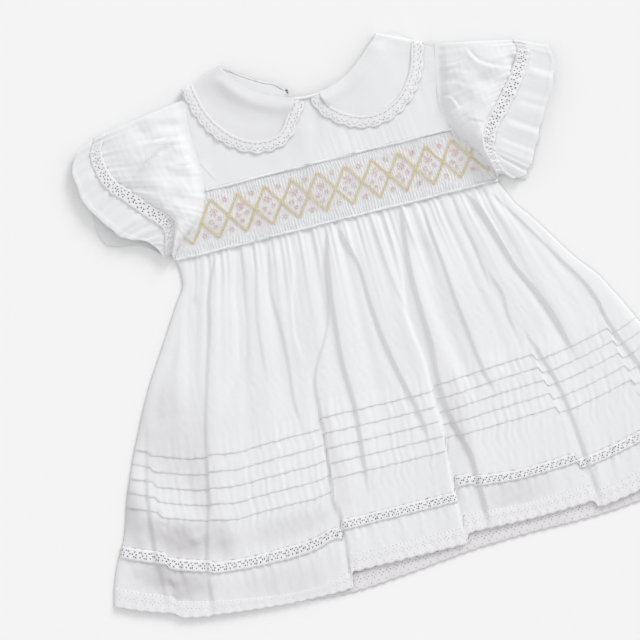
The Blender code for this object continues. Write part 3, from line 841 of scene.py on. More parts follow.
# %% Front hem
def hem_band_place(across, along):
    drop = mix(HEM_LACE_TOP, BAND_TOP, along)
    x = skirt_x(across, drop)
    y = skirt_y(x, drop) + row_lift(x, drop)
    gathered = np.exp(-(drop - BAND_TOP) / 0.010)
    uneven = 0.6 + 0.4 * ripple(x, 0.06, 52)
    z = front_skirt_height(x, drop) + 0.0009 * gathered * uneven * ripple(x, 0.0082, 51)
    z = z + 0.0003 * ripple(x, 0.019, 53)
    return x, y, z, x, drop


hem_band = cloth_sheet("front_hem_band_cloth", 400, 20, hem_band_place, lawn, painted_shade=painted_shade_mask)
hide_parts("front_hem_band")

hem_lace = lace_strip(
    "front_hem_edging",
    0.540,
    HEM - HEM_LACE_TOP,
    0.00165,
    EDGING_CHART,
    front_row_place(HEM_LACE_TOP - 0.0006, HEM, wave=0.0004, scallop=0.0013),
    hole=0.36,
)
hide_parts("front_hem_lace")
print("front hem laid on")

# %% [markdown]
# ## The back of the skirt
#
# The back hangs from the same waist and lies flat on the table under the front.  It was laid down
# a little askew, so its hem shows below the front's on one side, as a strip of plain cloth with
# its own lace.

# %% Back skirt
BACK_HANG = (
    {"x": -0.280, "hang": -0.0040},
    {"x": -0.150, "hang": 0.0000},
    {"x": -0.067, "hang": 0.0055},
    {"x": -0.022, "hang": 0.0018},
    {"x": 0.048, "hang": -0.0055},
    {"x": 0.086, "hang": -0.0068},
    {"x": 0.150, "hang": -0.0050},
    {"x": 0.280, "hang": -0.0030},
)
BACK_INSET = 0.985  # the back is this much narrower, so the front's rolled edge covers it


def back_spot(share, drop):
    x = skirt_x(share, drop) * BACK_INSET
    hang = column(BACK_HANG, "x", "hang", x) * (drop / HEM) ** 2
    y = skirt_y(x, drop, hang)
    z = BACK_HEIGHT + 0.00025 * ripple(x, 0.021, 61) * smooth(0.0, 0.1, drop)
    return x, y, z


def back_strip_place(top, bottom):
    def place(across, along):
        drop = mix(bottom, top, along)
        x, y, z = back_spot(across, drop)
        return x, y, z, x, drop

    return place


def back_lace_place(top, bottom, scallop=0.0):
    def place(along, up):
        x, y, z = back_spot(along, mix(bottom, top, up))
        y = y - scallop * (1 - up) * np.abs(np.sin(math.pi * x / 0.0090))
        return x, y, z

    return place


# Painted shade: the back's cloth and lace use darker copies of the front's cotton, for the shade under
# the front.
back_skirt = cloth_sheet(
    "back_skirt_cloth", 160, 70, back_strip_place(0.001, INSERTION_TOP), lawn_painted_shade, 0.0004
)
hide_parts("back_skirt")

back_insertion = lace_strip(
    "back_lace_insertion",
    0.500,
    BAND_TOP - INSERTION_TOP,
    0.00165,
    INSERTION_CHART,
    back_lace_place(INSERTION_TOP - 0.0004, BAND_TOP + 0.0004),
    finish=lace_painted_shade,
)
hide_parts("back_insertion")

back_band = cloth_sheet(
    "back_hem_band_cloth", 200, 12, back_strip_place(BAND_TOP, HEM_LACE_TOP), lawn_painted_shade, 0.0004
)
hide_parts("back_hem_band")

back_lace = lace_strip(
    "back_hem_edging",
    0.530,
    HEM - HEM_LACE_TOP,
    0.00165,
    EDGING_CHART,
    back_lace_place(HEM_LACE_TOP - 0.0004, HEM, scallop=0.0013),
    hole=0.32,
    finish=lace_painted_shade,
)
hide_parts("back_hem_lace")
print("back of the skirt laid under it")

# %% [markdown]
# ## The bodice's plan
#
# The bodice was laid a little crooked too, so its left side is longer at the waist than its right
# and the two shoulders are not level.  The armholes and the neckline are tables of points, and the
# back lies on the table except where its buttons and the back of the collar lift it.

# %% The bodice's plan
ARMHOLES = (
    {"y": 0.0830, "left": -0.1475, "right": 0.1365},
    {"y": 0.0900, "left": -0.1440, "right": 0.1350},
    {"y": 0.0985, "left": -0.1355, "right": 0.1310},
    {"y": 0.1060, "left": -0.1245, "right": 0.1265},
    {"y": 0.1170, "left": -0.1145, "right": 0.1200},
    {"y": 0.1310, "left": -0.1090, "right": 0.1105},
    {"y": 0.1440, "left": -0.1080, "right": 0.1050},
    {"y": 0.1610, "left": -0.1087, "right": 0.1035},
    {"y": 0.1860, "left": -0.1100, "right": 0.1075},
    {"y": 0.2140, "left": -0.1070, "right": 0.1125},
)
NECK_EDGE = (
    {"angle": -72.0, "radius": 0.0750},
    {"angle": -60.0, "radius": 0.0732},
    {"angle": -45.0, "radius": 0.0712},
    {"angle": -28.0, "radius": 0.0677},
    {"angle": -12.0, "radius": 0.0668},
    {"angle": 0.0, "radius": 0.0661},
    {"angle": 24.0, "radius": 0.0652},
    {"angle": 40.0, "radius": 0.0650},
    {"angle": 58.0, "radius": 0.0681},
    {"angle": 65.0, "radius": 0.0710},
)
SHOULDER_ANGLES = {"left": math.radians(71.0), "right": math.radians(65.0)}
SIGNS = {"left": -1, "right": 1}
LAP_HEIGHT = 0.0016  # the buttoned backs lap at the middle, which lifts the front there
LIFTED = 0.0019  # the buttons and the collar's back lift the bodice this much


def round_neck(angle, radius):
    """A point on the plan at this angle from straight down, round the neck's centre."""
    return radius * np.sin(angle), NECK_CENTRE_Y - radius * np.cos(angle)


def neck_radius(angle):
    return column(NECK_EDGE, "angle", "radius", np.degrees(angle))


def back_height(y):
    return LIFTED * smooth(WAIST_Y + 0.008, WAIST_Y + 0.032, y)


def front_height(x, y):
    """Underside of the bodice's front."""
    lap = LAP_HEIGHT * smooth(0.034, 0.014, np.abs(x)) * smooth(WAIST_Y + 0.018, UPPER_Y, y)
    return back_height(y) + LAYER + lap


def crease(x, y, points, depth, width, side=0):
    """Height of one crease on the plan, along a line of points, fading towards its two ends.

    A crease with a side has a steep face on its line, and is raised on that side of it.
    """
    lengths = [math.dist(first, second) for first, second in zip(points, points[1:])]
    total = sum(lengths)
    nearest = np.full(np.shape(x), 9.0)
    signed = np.zeros(np.shape(x))
    place = np.zeros(np.shape(x))
    start = 0.0
    for first, second, length in zip(points, points[1:], lengths):
        dx, dy = (second[0] - first[0]) / length, (second[1] - first[1]) / length
        along = np.clip((x - first[0]) * dx + (y - first[1]) * dy, 0.0, length)
        away = np.hypot(x - first[0] - along * dx, y - first[1] - along * dy)
        closer = away < nearest
        cross = dx * (y - first[1]) - dy * (x - first[0])
        signed = np.where(closer, np.sign(cross) * away, signed)
        place = np.where(closer, (start + along) / total, place)
        nearest = np.where(closer, away, nearest)
        start += length
    fade = smooth(-0.05, 0.25, place) * smooth(1.05, 0.55, place)
    if side == 0:
        return -depth * np.exp(-((nearest / width) ** 2)) * fade
    out = signed * side
    steep = 0.35 * width
    raised = smooth(0.0, steep, out) * np.exp(-np.clip(out - steep, 0, None) / width)
    hollow = 0.45 * np.exp(-((nearest / steep) ** 2))
    return depth * (raised - hollow) * fade * smooth(4 * width, 2 * width, nearest)


def creases(x, y, table):
    total = np.zeros(np.shape(x))
    for row in table:
        total = total + crease(x, y, row["line"], row["depth"], row["width"], row["side"])
    return total


def bodice_x(share, y):
    left = column(ARMHOLES, "y", "left", y)
    right = column(ARMHOLES, "y", "right", y)
    return mix(left, right, share)


# %% [markdown]
# ## Smocking
#
# Smocking is cloth gathered into fine even pleats, which embroidery over their tops holds
# together.  So the band is a sheet with a rounded ridge for each pleat, and the stitches are real
# too: two rows of slanting cable stitches in gold floss make the diamonds, and little pink buds of
# a few petals each sit in and between them.

# %% Smocked band
PLEAT = 0.00240
SMOCK_BOTTOM = WAIST_Y + 0.0010
SMOCK_TOP = UPPER_Y - 0.0012
DIAMOND_START = -0.1054
DIAMOND_STEP = 0.02346
DIAMONDS = 10
PEAK_Y = WAIST_Y + 0.0434
CROSSING_Y = WAIST_Y + 0.0264
FOOT_Y = WAIST_Y + 0.0102


def smock_height(x, y):
    """Middle of the pleated cloth."""
    lean = 0.0009 * ripple(y + 0.3 * x, 0.019, 71) + 0.0011 * ripple(x, 0.0170, 72)
    lean = lean + 0.0005 * ripple(y + 3.1 * x, 0.0065, 75)
    held = np.exp(-(((y - CROSSING_Y) / 0.017) ** 2))
    ridge = np.abs(np.sin(math.pi * (x + lean) / PLEAT)) ** 0.8
    uneven = 0.68 + 0.40 * ripple(y + 7.3 * x, 0.0065, 73)
    plump = mix(1.15, 0.80, held)
    soft = 0.0005 * ripple(x + 0.2 * y, 0.045, 74)
    return front_height(x, y) + 0.0008 + 0.0009 * ridge * uneven * plump + soft


def smock_place(across, along):
    y = mix(SMOCK_BOTTOM, SMOCK_TOP, along)
    x = bodice_x(across, y)
    return x, y, smock_height(x, y), x * 1.8, y


smocking = cloth_sheet("smocked_band", 780, 46, smock_place, lawn)
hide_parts("smocked_insert")
print("smocked band:", round(0.27 / PLEAT), "pleats")

# %% [markdown]
# ## Stitches
#
# There are over fifteen hundred stitches, so one grain of floss is made with a few faces, and its
# points are copied to each place.  The gold makes two crossing zigzags.  Each whole diamond has the
# same arrangement of buds, with a little chance in each petal.

# %% Grain of floss
def grain_mesh():
    """One grain of floss, along X."""
    bm = bmesh.new()
    bmesh.ops.create_uvsphere(bm, u_segments=6, v_segments=4, radius=0.5)
    bmesh.ops.rotate(bm, verts=bm.verts, cent=(0, 0, 0), matrix=Matrix.Rotation(math.pi / 2, 3, "Y"))
    grain = bpy.data.meshes.new("grain")
    bm.to_mesh(grain)
    bm.free()
    return grain


def stitch(x, y, turn, length, width, lift=0.0):
    """Where one grain goes to be a short stitch that lies on the pleats."""
    top = float(front_height(np.array([x]), np.array([y]))[0]) + 0.0019
    place = Matrix.Translation((x, y, top + lift)) @ Matrix.Rotation(turn, 4, "Z")
    return place @ Matrix.Diagonal((length, width, width * 0.9, 1.0))


def copies(name, shape, places, finish):
    """One piece made of a small mesh, copied to each place."""
    points = np.array([tuple(vert.co) + (1.0,) for vert in shape.vertices])
    faces = [tuple(face.vertices) for face in shape.polygons]
    moved = [points @ np.array(place).T for place in places]
    spots = np.concatenate(moved)[:, :3]
    count = len(points)
    joined = [tuple(v + count * n for v in face) for n in range(len(places)) for face in faces]
    mesh = bpy.data.meshes.new(name)
    mesh.from_pydata(spots.tolist(), [], joined)
    add_uv(mesh, spots[:, 0], spots[:, 1])
    return finish_piece(name, mesh, finish)


def inside_band(x, y):
    left = float(bodice_x(np.array([0.0]), np.array([y]))[0])
    right = float(bodice_x(np.array([1.0]), np.array([y]))[0])
    return left + 0.0012 < x < right - 0.0012


def trellis_points(peak_y, first, last):
    """Corners of one zigzag: its peaks or feet, and the crossings between."""
    points = []
    for number in range(first, last):
        middle = DIAMOND_START + number * DIAMOND_STEP
        points.append((middle, peak_y))
        points.append((middle + DIAMOND_STEP / 2, CROSSING_Y))
    return points

# %% Gold trellis
CABLE = 0.00150  # from one stitch to the next
stitch_dice = random.Random(5)
floss_grain = grain_mesh()
gold_places = []
for peak_y in (PEAK_Y, FOOT_Y):
    corners = trellis_points(peak_y, -2, DIAMONDS + 1)
    for first, second in zip(corners, corners[1:]):
        slope = math.atan2(second[1] - first[1], second[0] - first[0])
        count = round(math.dist(first, second) / CABLE)
        bow = stitch_dice.uniform(-0.0008, 0.0008)
        for step in range(count):
            for row in (-1, 1):
                share = (step + 0.5 + 0.25 * row) / count
                off = row * 0.00062 + bow * math.sin(math.pi * share)
                off = off + stitch_dice.uniform(-0.00014, 0.00014)
                x = mix(first[0], second[0], share) - off * math.sin(slope)
                y = mix(first[1], second[1], share) + off * math.cos(slope)
                turn = slope + row * 0.65 + stitch_dice.uniform(-0.15, 0.15)
                if inside_band(x, y):
                    gold_places.append(stitch(x, y, turn, 0.0019, 0.00080))
gold_trellis = copies("gold_trellis", floss_grain, gold_places, gold_floss)
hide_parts("smocked_insert")
print("gold stitches:", len(gold_places))

# %% Pink buds
BUDS = (
    {"x": 0.0000, "y": 0.0052, "petals": 9, "spread": 0.0029},
    {"x": 0.0003, "y": 0.0050, "petals": 4, "spread": 0.0012},
    {"x": -0.0037, "y": -0.0022, "petals": 5, "spread": 0.0016},
    {"x": 0.0041, "y": -0.0010, "petals": 5, "spread": 0.0015},
    {"x": -0.0008, "y": -0.0070, "petals": 4, "spread": 0.0012},
)


def bud(x, y, petals, spread):
    """Places of a bud's petals, in a ring."""
    found = []
    start = stitch_dice.uniform(0, 2 * math.pi)
    for number in range(petals):
        turn = start + 2 * math.pi * number / petals + stitch_dice.uniform(-0.3, 0.3)
        out = spread * stitch_dice.uniform(0.75, 1.1)
        lean = turn + stitch_dice.uniform(-0.6, 0.6)
        px, py = x + out * math.cos(turn), y + out * math.sin(turn)
        if inside_band(px, py):
            found.append(stitch(px, py, lean, 0.0018, 0.0010, -0.0002))
    return found


pink_places = []
heart_y = (PEAK_Y + FOOT_Y) / 2
for number in range(-2, DIAMONDS + 1):
    middle = DIAMOND_START + number * DIAMOND_STEP
    for row in BUDS if 0 <= number < DIAMONDS else ():
        pink_places += bud(middle + row["x"], heart_y + row["y"], row["petals"], row["spread"])
    for y in (PEAK_Y - 0.0030, FOOT_Y + 0.0042):
        pink_places += bud(middle + DIAMOND_STEP / 2, y, 7, 0.0017)
pink_buds = copies("pink_buds", floss_grain, pink_places, pink_floss)
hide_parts("smocked_insert")
print("petals:", len(pink_places))

# %% [markdown]
# ## Cords
#
# A corded piping finishes each long seam: a cord wrapped in the same lawn, which the gathers under
# it press into a slightly lumpy line.


# %% Piping cords
def tube(name, points, radius, finish, sides=10, lumps=0.0, seed=1):
    """A tube along points, which are at even steps.  Its ends are closed."""
    points = np.array(points)
    ahead = np.gradient(points, axis=0)
    ahead /= np.linalg.norm(ahead, axis=1)[:, None]
    up = np.array([0.0, 0.0, 1.0])
    across = np.cross(ahead, up)
    across /= np.linalg.norm(across, axis=1)[:, None]
    over = np.cross(across, ahead)
    steps = np.concatenate([[0], np.cumsum(np.linalg.norm(np.diff(points, axis=0), axis=1))])
    rows = len(points)
    bm = bmesh.new()
    bmesh.ops.create_cone(bm, segments=sides, radius1=1.0, radius2=1.0, depth=1.0, cap_ends=False)
    bmesh.ops.bisect_edges(
        bm, edges=[edge for edge in bm.edges if abs(edge.verts[0].co.z - edge.verts[1].co.z) > 0.5],
        cuts=rows - 2,
    )
    bm.verts.ensure_lookup_table()
    rings = {}
    for vert in bm.verts:
        rings.setdefault(round((vert.co.z + 0.5) * (rows - 1)), []).append(vert)
    spread = radius * (1 + lumps * ripple(steps, 0.006, seed))
    for number, ring in rings.items():
        for vert in ring:
            turn = math.atan2(vert.co.y, vert.co.x)
            spot = points[number]
            spot = spot + spread[number] * (
                math.cos(turn) * across[number] + math.sin(turn) * over[number]
            )
            vert.co = Vector(spot)
    bmesh.ops.holes_fill(bm, edges=bm.edges, sides=sides)
    bmesh.ops.recalc_face_normals(bm, faces=bm.faces)
    mesh = bpy.data.meshes.new(name)
    bm.to_mesh(mesh)
    bm.free()
    flat = np.empty(len(mesh.vertices) * 3)
    mesh.vertices.foreach_get("co", flat)
    add_uv(mesh, flat[0::3], flat[1::3] + flat[2::3])
    return finish_piece(name, mesh, finish)


def piping_points(seam_y, rise, seed):
    found = []
    left = float(bodice_x(np.array([0.0]), np.array([seam_y]))[0])
    right = float(bodice_x(np.array([1.0]), np.array([seam_y]))[0])
    for x in np.linspace(left + 0.0008, right - 0.0008, 260):
        here = np.array([x])
        y = seam_y + 0.00035 * float(ripple(here, 0.048, seed)[0])
        z = float(front_height(here, np.array([seam_y + 0.002]))[0]) + rise
        found.append((x, y, z + 0.00025 * float(ripple(here, 0.0065, seed + 1)[0])))
    return found


for node, seam_y, rise in (("piping_upper", UPPER_Y, 0.0014), ("piping_waist", WAIST_Y, 0.0018)):
    piping = tube(f"{node}_cord", piping_points(seam_y, rise, 81), 0.0012, cord_white, lumps=0.10)
    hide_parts(node)
print("two piping cords")

# %% [markdown]
# ## Yoke and back
#
# The yoke is plain lawn with small tucks let into its seam on one half.  Behind it are the two
# halves of the back, which button at the middle, and whose top edge shows inside the neck on one
# side, with its rolled binding and a button loop.

# %% Yoke
YOKE_CREASES = (
    {"line": ((-0.1085, 0.160), (-0.1020, 0.147), (-0.0960, 0.137)), "depth": 0.0004,
     "width": 0.0022, "side": 1},
    {"line": ((0.1000, 0.205), (0.0985, 0.172), (0.0960, 0.138)), "depth": 0.0006, "width": 0.0060,
     "side": 0},
    {"line": ((0.0870, 0.200), (0.0900, 0.168), (0.0890, 0.137)), "depth": 0.0005, "width": 0.0040,
     "side": 0},
    {"line": ((-0.0960, 0.190), (-0.0930, 0.165), (-0.1010, 0.142)), "depth": 0.0005, "width": 0.0080,
     "side": 0},
    {"line": ((-0.0020, 0.178), (-0.0050, 0.158), (-0.0180, 0.140)), "depth": 0.0008, "width": 0.0050,
     "side": 0},
    {"line": ((0.0180, 0.160), (0.0200, 0.148), (0.0170, 0.137)), "depth": 0.0006, "width": 0.0030,
     "side": 0},
)


def top_y(x):
    """Top edge of the yoke: its neckline, then its shoulder seams."""
    angle = np.arctan2(x, 0.060)
    low, high = -SHOULDER_ANGLES["left"], SHOULDER_ANGLES["right"]
    for _ in range(12):
        held = np.clip(angle, low, high)
        angle = angle + (x - neck_radius(held) * np.sin(angle)) / 0.075
    held = np.clip(angle, low, high)
    neck_y = NECK_CENTRE_Y - neck_radius(held) * np.cos(held)
    shoulder_x = neck_radius(held) * np.sin(held)
    beyond = np.clip(np.abs(x) - np.abs(shoulder_x), 0.0, None)
    slope = np.where(x < 0, 1 / math.tan(-low), 1 / math.tan(high))
    return np.where((angle > low) & (angle < high), neck_y, neck_y - slope * beyond)


def yoke_height(x, y):
    bottom = UPPER_Y + 0.0008
    patchy = smooth(-0.02, 0.01, x) * smooth(0.085, 0.07, x) * (0.7 + 0.3 * ripple(x, 0.03, 91))
    fade = np.exp(-(y - bottom) / 0.020)
    little = 0.00036 * ripple(x + 0.1 * (y - bottom), 0.0052, 92) * patchy * fade
    soft = 0.0003 * ripple(x + 0.35 * y, 0.037, 93) + 0.0002 * ripple(y - 0.2 * x, 0.028, 94)
    return front_height(x, y) + 0.0007 + little + soft + creases(x, y, YOKE_CREASES)


def yoke_place(across, along):
    bottom = UPPER_Y + 0.0008
    top_x = mix(-0.1075, 0.1120, across)
    top = top_y(top_x)
    y = mix(bottom, top, along)
    x = mix(bodice_x(across, y), top_x, smooth(0.4, 1.0, along))
    return x, y, yoke_height(x, y), x, y


yoke = cloth_sheet("yoke_cloth", 260, 90, yoke_place, lawn, 0.0004)
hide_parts("front_yoke")

# %% [markdown]
# ## Back of the bodice
#
# Two halves lap at the middle, where the buttons are.  Their tops are tables of points.  The left
# one is lifted a little beside the neck, so that its rolled edge shows inside the front's.

# %% Back of the bodice
BACK_TOPS = {
    "left": (
        {"x": -0.1070, "y": 0.2195},
        {"x": -0.0713, "y": 0.2322},
        {"x": -0.0559, "y": 0.2218},
        {"x": -0.0392, "y": 0.2115},
        {"x": -0.0255, "y": 0.2042},
        {"x": -0.0215, "y": 0.1988},
        {"x": -0.0180, "y": 0.1900},
        {"x": 0.0080, "y": 0.1880},
    ),
    "right": (
        {"x": -0.0080, "y": 0.1860},
        {"x": 0.0060, "y": 0.1865},
        {"x": 0.0250, "y": 0.1925},
        {"x": 0.0420, "y": 0.2020},
        {"x": 0.0640, "y": 0.2250},
        {"x": 0.1120, "y": 0.2035},
    ),
}


def neck_lift(side, x, y):
    """Raises the top of the left back inside the neck.  It crosses the yoke under the collar."""
    if side == "right":
        return 0.0 * x
    return 0.0026 * smooth(0.184, 0.200, y) * smooth(-0.078, -0.060, x) * smooth(0.0, -0.014, x)


def back_place(side):
    inner = 0.0080 * -SIGNS[side]

    def place(across, along):
        outer_top = -0.1070 if side == "left" else 0.1120
        top_x = mix(inner, outer_top, across)
        top = column(BACK_TOPS[side], "x", "y", top_x)
        y = mix(WAIST_Y + 0.0006, top, along)
        edge = column(ARMHOLES, "y", side, y)
        x = mix(mix(inner, edge, across), top_x, smooth(0.5, 1.0, along))
        over = LAP_HEIGHT * smooth(0.034, 0.014, np.abs(x)) * smooth(0.101, 0.115, y)
        z = back_height(y) + 0.0006 + (over if side == "right" else 0.0)
        return x, y, z + neck_lift(side, x, y) + 0.0002 * ripple(x + y, 0.03, 95), x, y

    return place


BACK_ROLL = 0.0006
for side in ("left", "right"):
    back = cloth_sheet(f"back_{side}_cloth", 90, 80, back_place(side), lawn, 0.0004)
    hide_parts(f"back_bodice_{side}")
    ends = {"left": (-0.0700, -0.0225), "right": (0.0090, 0.0620)}[side]
    roll_x = np.linspace(ends[0], ends[1], 60)
    roll_y = column(BACK_TOPS[side], "x", "y", roll_x) + 0.0004
    roll_z = back_height(roll_y) + 0.0007 + neck_lift(side, roll_x, roll_y)
    if side == "right":
        roll_z = roll_z + LAP_HEIGHT * smooth(0.034, 0.014, np.abs(roll_x))
    rolled = tube(
        f"back_{side}_rolled_edge",
        np.stack([roll_x, roll_y, roll_z], axis=1),
        BACK_ROLL,
        cord_white,
        lumps=0.12,
        seed=4,
    )
    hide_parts(f"back_binding_{side}")

# The loop that goes over a top button, of worked thread.
turns = np.linspace(math.radians(150), math.radians(-150), 40)
loop_x = -0.0205 + 0.0018 * np.cos(turns)
loop_y = 0.1992 + 0.0023 * np.sin(turns)
loop = tube(
    "button_loop", np.stack([loop_x, loop_y, np.full(40, 0.0050)], axis=1), 0.0004, cord_white,
    lumps=0.3, seed=6,
)
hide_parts("back_binding_left")
print("yoke and back made")

# %% [markdown]
# ## Collar
#
# Each half of the collar is cut flat, with a rounded front, and laid round the neck.  Past the
# shoulder it folds over and goes on underneath.  So its outline is given flat, and each point is
# then laid in front of the shoulder seam, round it, or behind it.

# %% Collar cloth
COLLAR_OUTLINES = {
    "left": (
        (14.3, 0.0681), (14.6, 0.0728), (16.6, 0.0798), (21.2, 0.0985), (30.1, 0.1085),
        (38.5, 0.1115), (48.1, 0.1115), (58.8, 0.1087), (71.6, 0.1034), (85.0, 0.1015),
        (100.0, 0.0995), (112.0, 0.0940), (119.0, 0.0840), (121.0, 0.0765),
    ),
    "right": (
        (5.4, 0.0669), (5.6, 0.0716), (9.2, 0.0822), (14.4, 0.0914), (20.7, 0.1005),
        (27.3, 0.1069), (35.9, 0.1108), (45.0, 0.1107), (53.8, 0.1080), (64.0, 0.1030),
        (80.0, 0.1000), (95.0, 0.0970), (106.0, 0.0920), (113.0, 0.0800), (115.0, 0.0725),
    ),
}
COLLAR_BASE = 0.0058  # middle of the collar's cloth where it lies on the yoke
COLLAR_UNDER = 0.0006  # and behind the shoulder, on the table
COLLAR_LACE = 0.0085
COLLAR_HOLLOWS = {
    "left": (
        {"x": -0.0760, "y": 0.2010, "turn": -40.0, "length": 0.024, "width": 0.0085, "depth": 0.0021},
        {"x": -0.0500, "y": 0.1840, "turn": -22.0, "length": 0.018, "width": 0.0080, "depth": 0.0016},
        {"x": -0.0430, "y": 0.1950, "turn": -24.0, "length": 0.016, "width": 0.0030, "depth": 0.0005},
    ),
    "right": (
        {"x": 0.0780, "y": 0.1950, "turn": 60.0, "length": 0.018, "width": 0.0080, "depth": 0.0008},
        {"x": 0.0480, "y": 0.1930, "turn": 42.0, "length": 0.022, "width": 0.0090, "depth": -0.0010},
    ),
}


def hollows(x, y, table):
    """Soft long hollows, or swells where the depth is below zero."""
    total = np.zeros(np.shape(x))
    for row in table:
        turn = math.radians(row["turn"])
        along = (x - row["x"]) * math.cos(turn) + (y - row["y"]) * math.sin(turn)
        away = (y - row["y"]) * math.cos(turn) - (x - row["x"]) * math.sin(turn)
        soft = np.exp(-((along / row["length"]) ** 2) - (away / row["width"]) ** 2)
        total = total - row["depth"] * soft
    return total


def even_path(points, count=400):
    """Points at even steps along a smooth line through the given ones."""
    points = np.array(points)
    keys = np.concatenate([[0], np.cumsum(np.linalg.norm(np.diff(points, axis=0), axis=1))])
    dense = np.linspace(0, keys[-1], count)
    table = [{"key": k, "x": p[0], "y": p[1]} for k, p in zip(keys, points)]
    x = column(table, "key", "x", dense)
    y = column(table, "key", "y", dense)
    gone = np.concatenate([[0], np.cumsum(np.hypot(np.diff(x), np.diff(y)))])
    even = np.linspace(0, gone[-1], count)
    return np.interp(even, gone, x), np.interp(even, gone, y), gone[-1]


def outline_xy(side):
    """The collar's flat outline, as if on the right, about the neck's centre."""
    flat = [
        (radius * math.sin(math.radians(angle)), -radius * math.cos(math.radians(angle)))
        for angle, radius in COLLAR_OUTLINES[side]
    ]
    return even_path(flat)


def lay_over_shoulder(side, x, y):
    """Lays flat points, as if on the right, round the shoulder.  Gives x, y, z and what is in front."""
    shoulder = SHOULDER_ANGLES[side]
    line = (math.sin(shoulder), -math.cos(shoulder))
    beyond = (math.cos(shoulder), math.sin(shoulder))
    bend = (COLLAR_BASE - COLLAR_UNDER) / 2
    along = x * line[0] + y * line[1]
    past = x * beyond[0] + y * beyond[1]
    turn = np.clip(past / bend, 0.0, math.pi)
    out = bend * np.sin(turn) + np.minimum(0.0, past) - np.maximum(0.0, past - math.pi * bend)
    z = COLLAR_UNDER + bend + bend * np.cos(turn)
    front = smooth(0.0, -0.012, past)
    placed_x = (along * line[0] + out * beyond[0]) * SIGNS[side]
    placed_y = NECK_CENTRE_Y + along * line[1] + out * beyond[1]
    return placed_x, placed_y, z, front


def front_lift(x, y, front):
    lap = LAP_HEIGHT * smooth(0.034, 0.012, np.abs(x))
    return lap * front


def collar_place(side):
    outline_x, outline_y, length = outline_xy(side)

    def place(across, along):
        share = across if side == "right" else 1 - across
        outer_x = np.interp(share, np.linspace(0, 1, 400), outline_x)
        outer_y = np.interp(share, np.linspace(0, 1, 400), outline_y)
        angle = np.arctan2(outer_x, -outer_y)
        inner = neck_radius(SIGNS[side] * angle) - 0.0008
        flat_x = mix(outer_x, inner * np.sin(angle), along)
        flat_y = mix(outer_y, -inner * np.cos(angle), along)
        x, y, z, front = lay_over_shoulder(side, flat_x, flat_y)
        from_neck = np.hypot(flat_x, flat_y) - inner
        roll = 0.0022 * np.exp(-(((from_neck - 0.0075) / 0.0065) ** 2))
        edge = -0.0009 * smooth(0.010, 0.0, from_neck) - 0.0006 * smooth(0.35, 0.0, along)
        soft = 0.0004 * ripple(flat_x + 0.4 * flat_y, 0.034, 101)
        z = z + front * (roll + edge + soft + hollows(x, y, COLLAR_HOLLOWS[side]))
        z = z + front_lift(x, y, front)
        above = yoke_height(x, y) + 0.0007
        gap = np.clip((z - above) / 0.0008, -20, 20)
        z = mix(z, above + 0.0008 * np.log1p(np.exp(gap)), smooth(0.2, 1.0, front))
        return x, y, z, share * length, along * 0.035

    return place


def shaded_collar(u, v):
    """Painted shade: a light grey on the left half of the collar, most of all beside the neck."""
    return 0.12 + 0.16 * np.exp(-(((u - 0.115) / 0.045) ** 2)) * smooth(0.004, 0.016, v)


def collar_lace_place(side):
    outline_x, outline_y, length = outline_xy(side)
    ahead_x = np.gradient(outline_x)
    ahead_y = np.gradient(outline_y)
    size = np.hypot(ahead_x, ahead_y)
    even = np.linspace(0, 1, 400)

    def place(along, up):
        share = along if side == "right" else 1 - along
        x = np.interp(share, even, outline_x)
        y = np.interp(share, even, outline_y)
        normal_x = np.interp(share, even, ahead_y / size)
        normal_y = np.interp(share, even, -ahead_x / size)
        gone = share * length
        drift = 0.0025 * ripple(gone, 0.050, 112)
        scallop = np.abs(np.sin(math.pi * (gone + drift) / 0.0098)) ** 0.8
        out = (COLLAR_LACE - 0.0006 + 0.0021 * scallop) * (1 - up) - 0.0016 * up
        placed_x, placed_y, z, front = lay_over_shoulder(
            side, x + out * normal_x, y + out * normal_y
        )
        wave = 0.0006 * ripple(gone, 0.0090, 111) * (1 - up) ** 1.5
        droop = -0.0007 * smooth(0.0, 1.0, 1 - up)
        seam = 0.0005 * smooth(0.80, 0.95, up)
        ribs = 0.00014 * ripple(gone, 0.0026, 113) * smooth(0.75, 0.25, up)
        z = z + front * (wave + ribs + droop + seam) + (1 - front) * 0.3 * np.abs(wave)
        return placed_x, placed_y, z + front_lift(placed_x, placed_y, front)

    return place


for side in ("left", "right"):
    collar = cloth_sheet(
        f"collar_{side}_cloth", 200, 44, collar_place(side), lawn, 0.0005,
        painted_shade=shaded_collar if side == "left" else None,
    )
    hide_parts(f"collar_{side}")
    edging = lace_strip(
        f"collar_{side}_edging",
        outline_xy(side)[2],
        COLLAR_LACE,
        0.00140,
        COLLAR_CHART,
        collar_lace_place(side),
        thread=0.0006,
        hole=0.30,
    )
    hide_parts(f"collar_lace_{side}")


def binding_place(across, along):
    low, high = -SHOULDER_ANGLES["left"], SHOULDER_ANGLES["right"]
    angle = mix(low, high, across)
    radius = neck_radius(angle) + mix(0.0016, -0.0008, along)
    x, y = round_neck(angle, radius)
    rolled = 0.0008 * np.sin(math.pi * np.clip(along, 0.0, 1.0)) ** 0.6
    z = front_height(x, y) + LAYER + 0.0001 + rolled - 0.0008 * smooth(0.6, 1.0, along)
    return x, y, z, angle * radius, radius


binding = cloth_sheet("neck_binding", 120, 8, binding_place, lawn, 0.0004)
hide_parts("front_binding")
print("collar laid round the neck")

# %% [markdown]
# ## Puff sleeves
#
# A sleeve is a short tube, gathered into the armhole and again into the lace above its frill.
# Each edge is a table of points from the top of the sleeve to the underarm, and a ring of cloth
# goes down the front of the table and back up behind it.

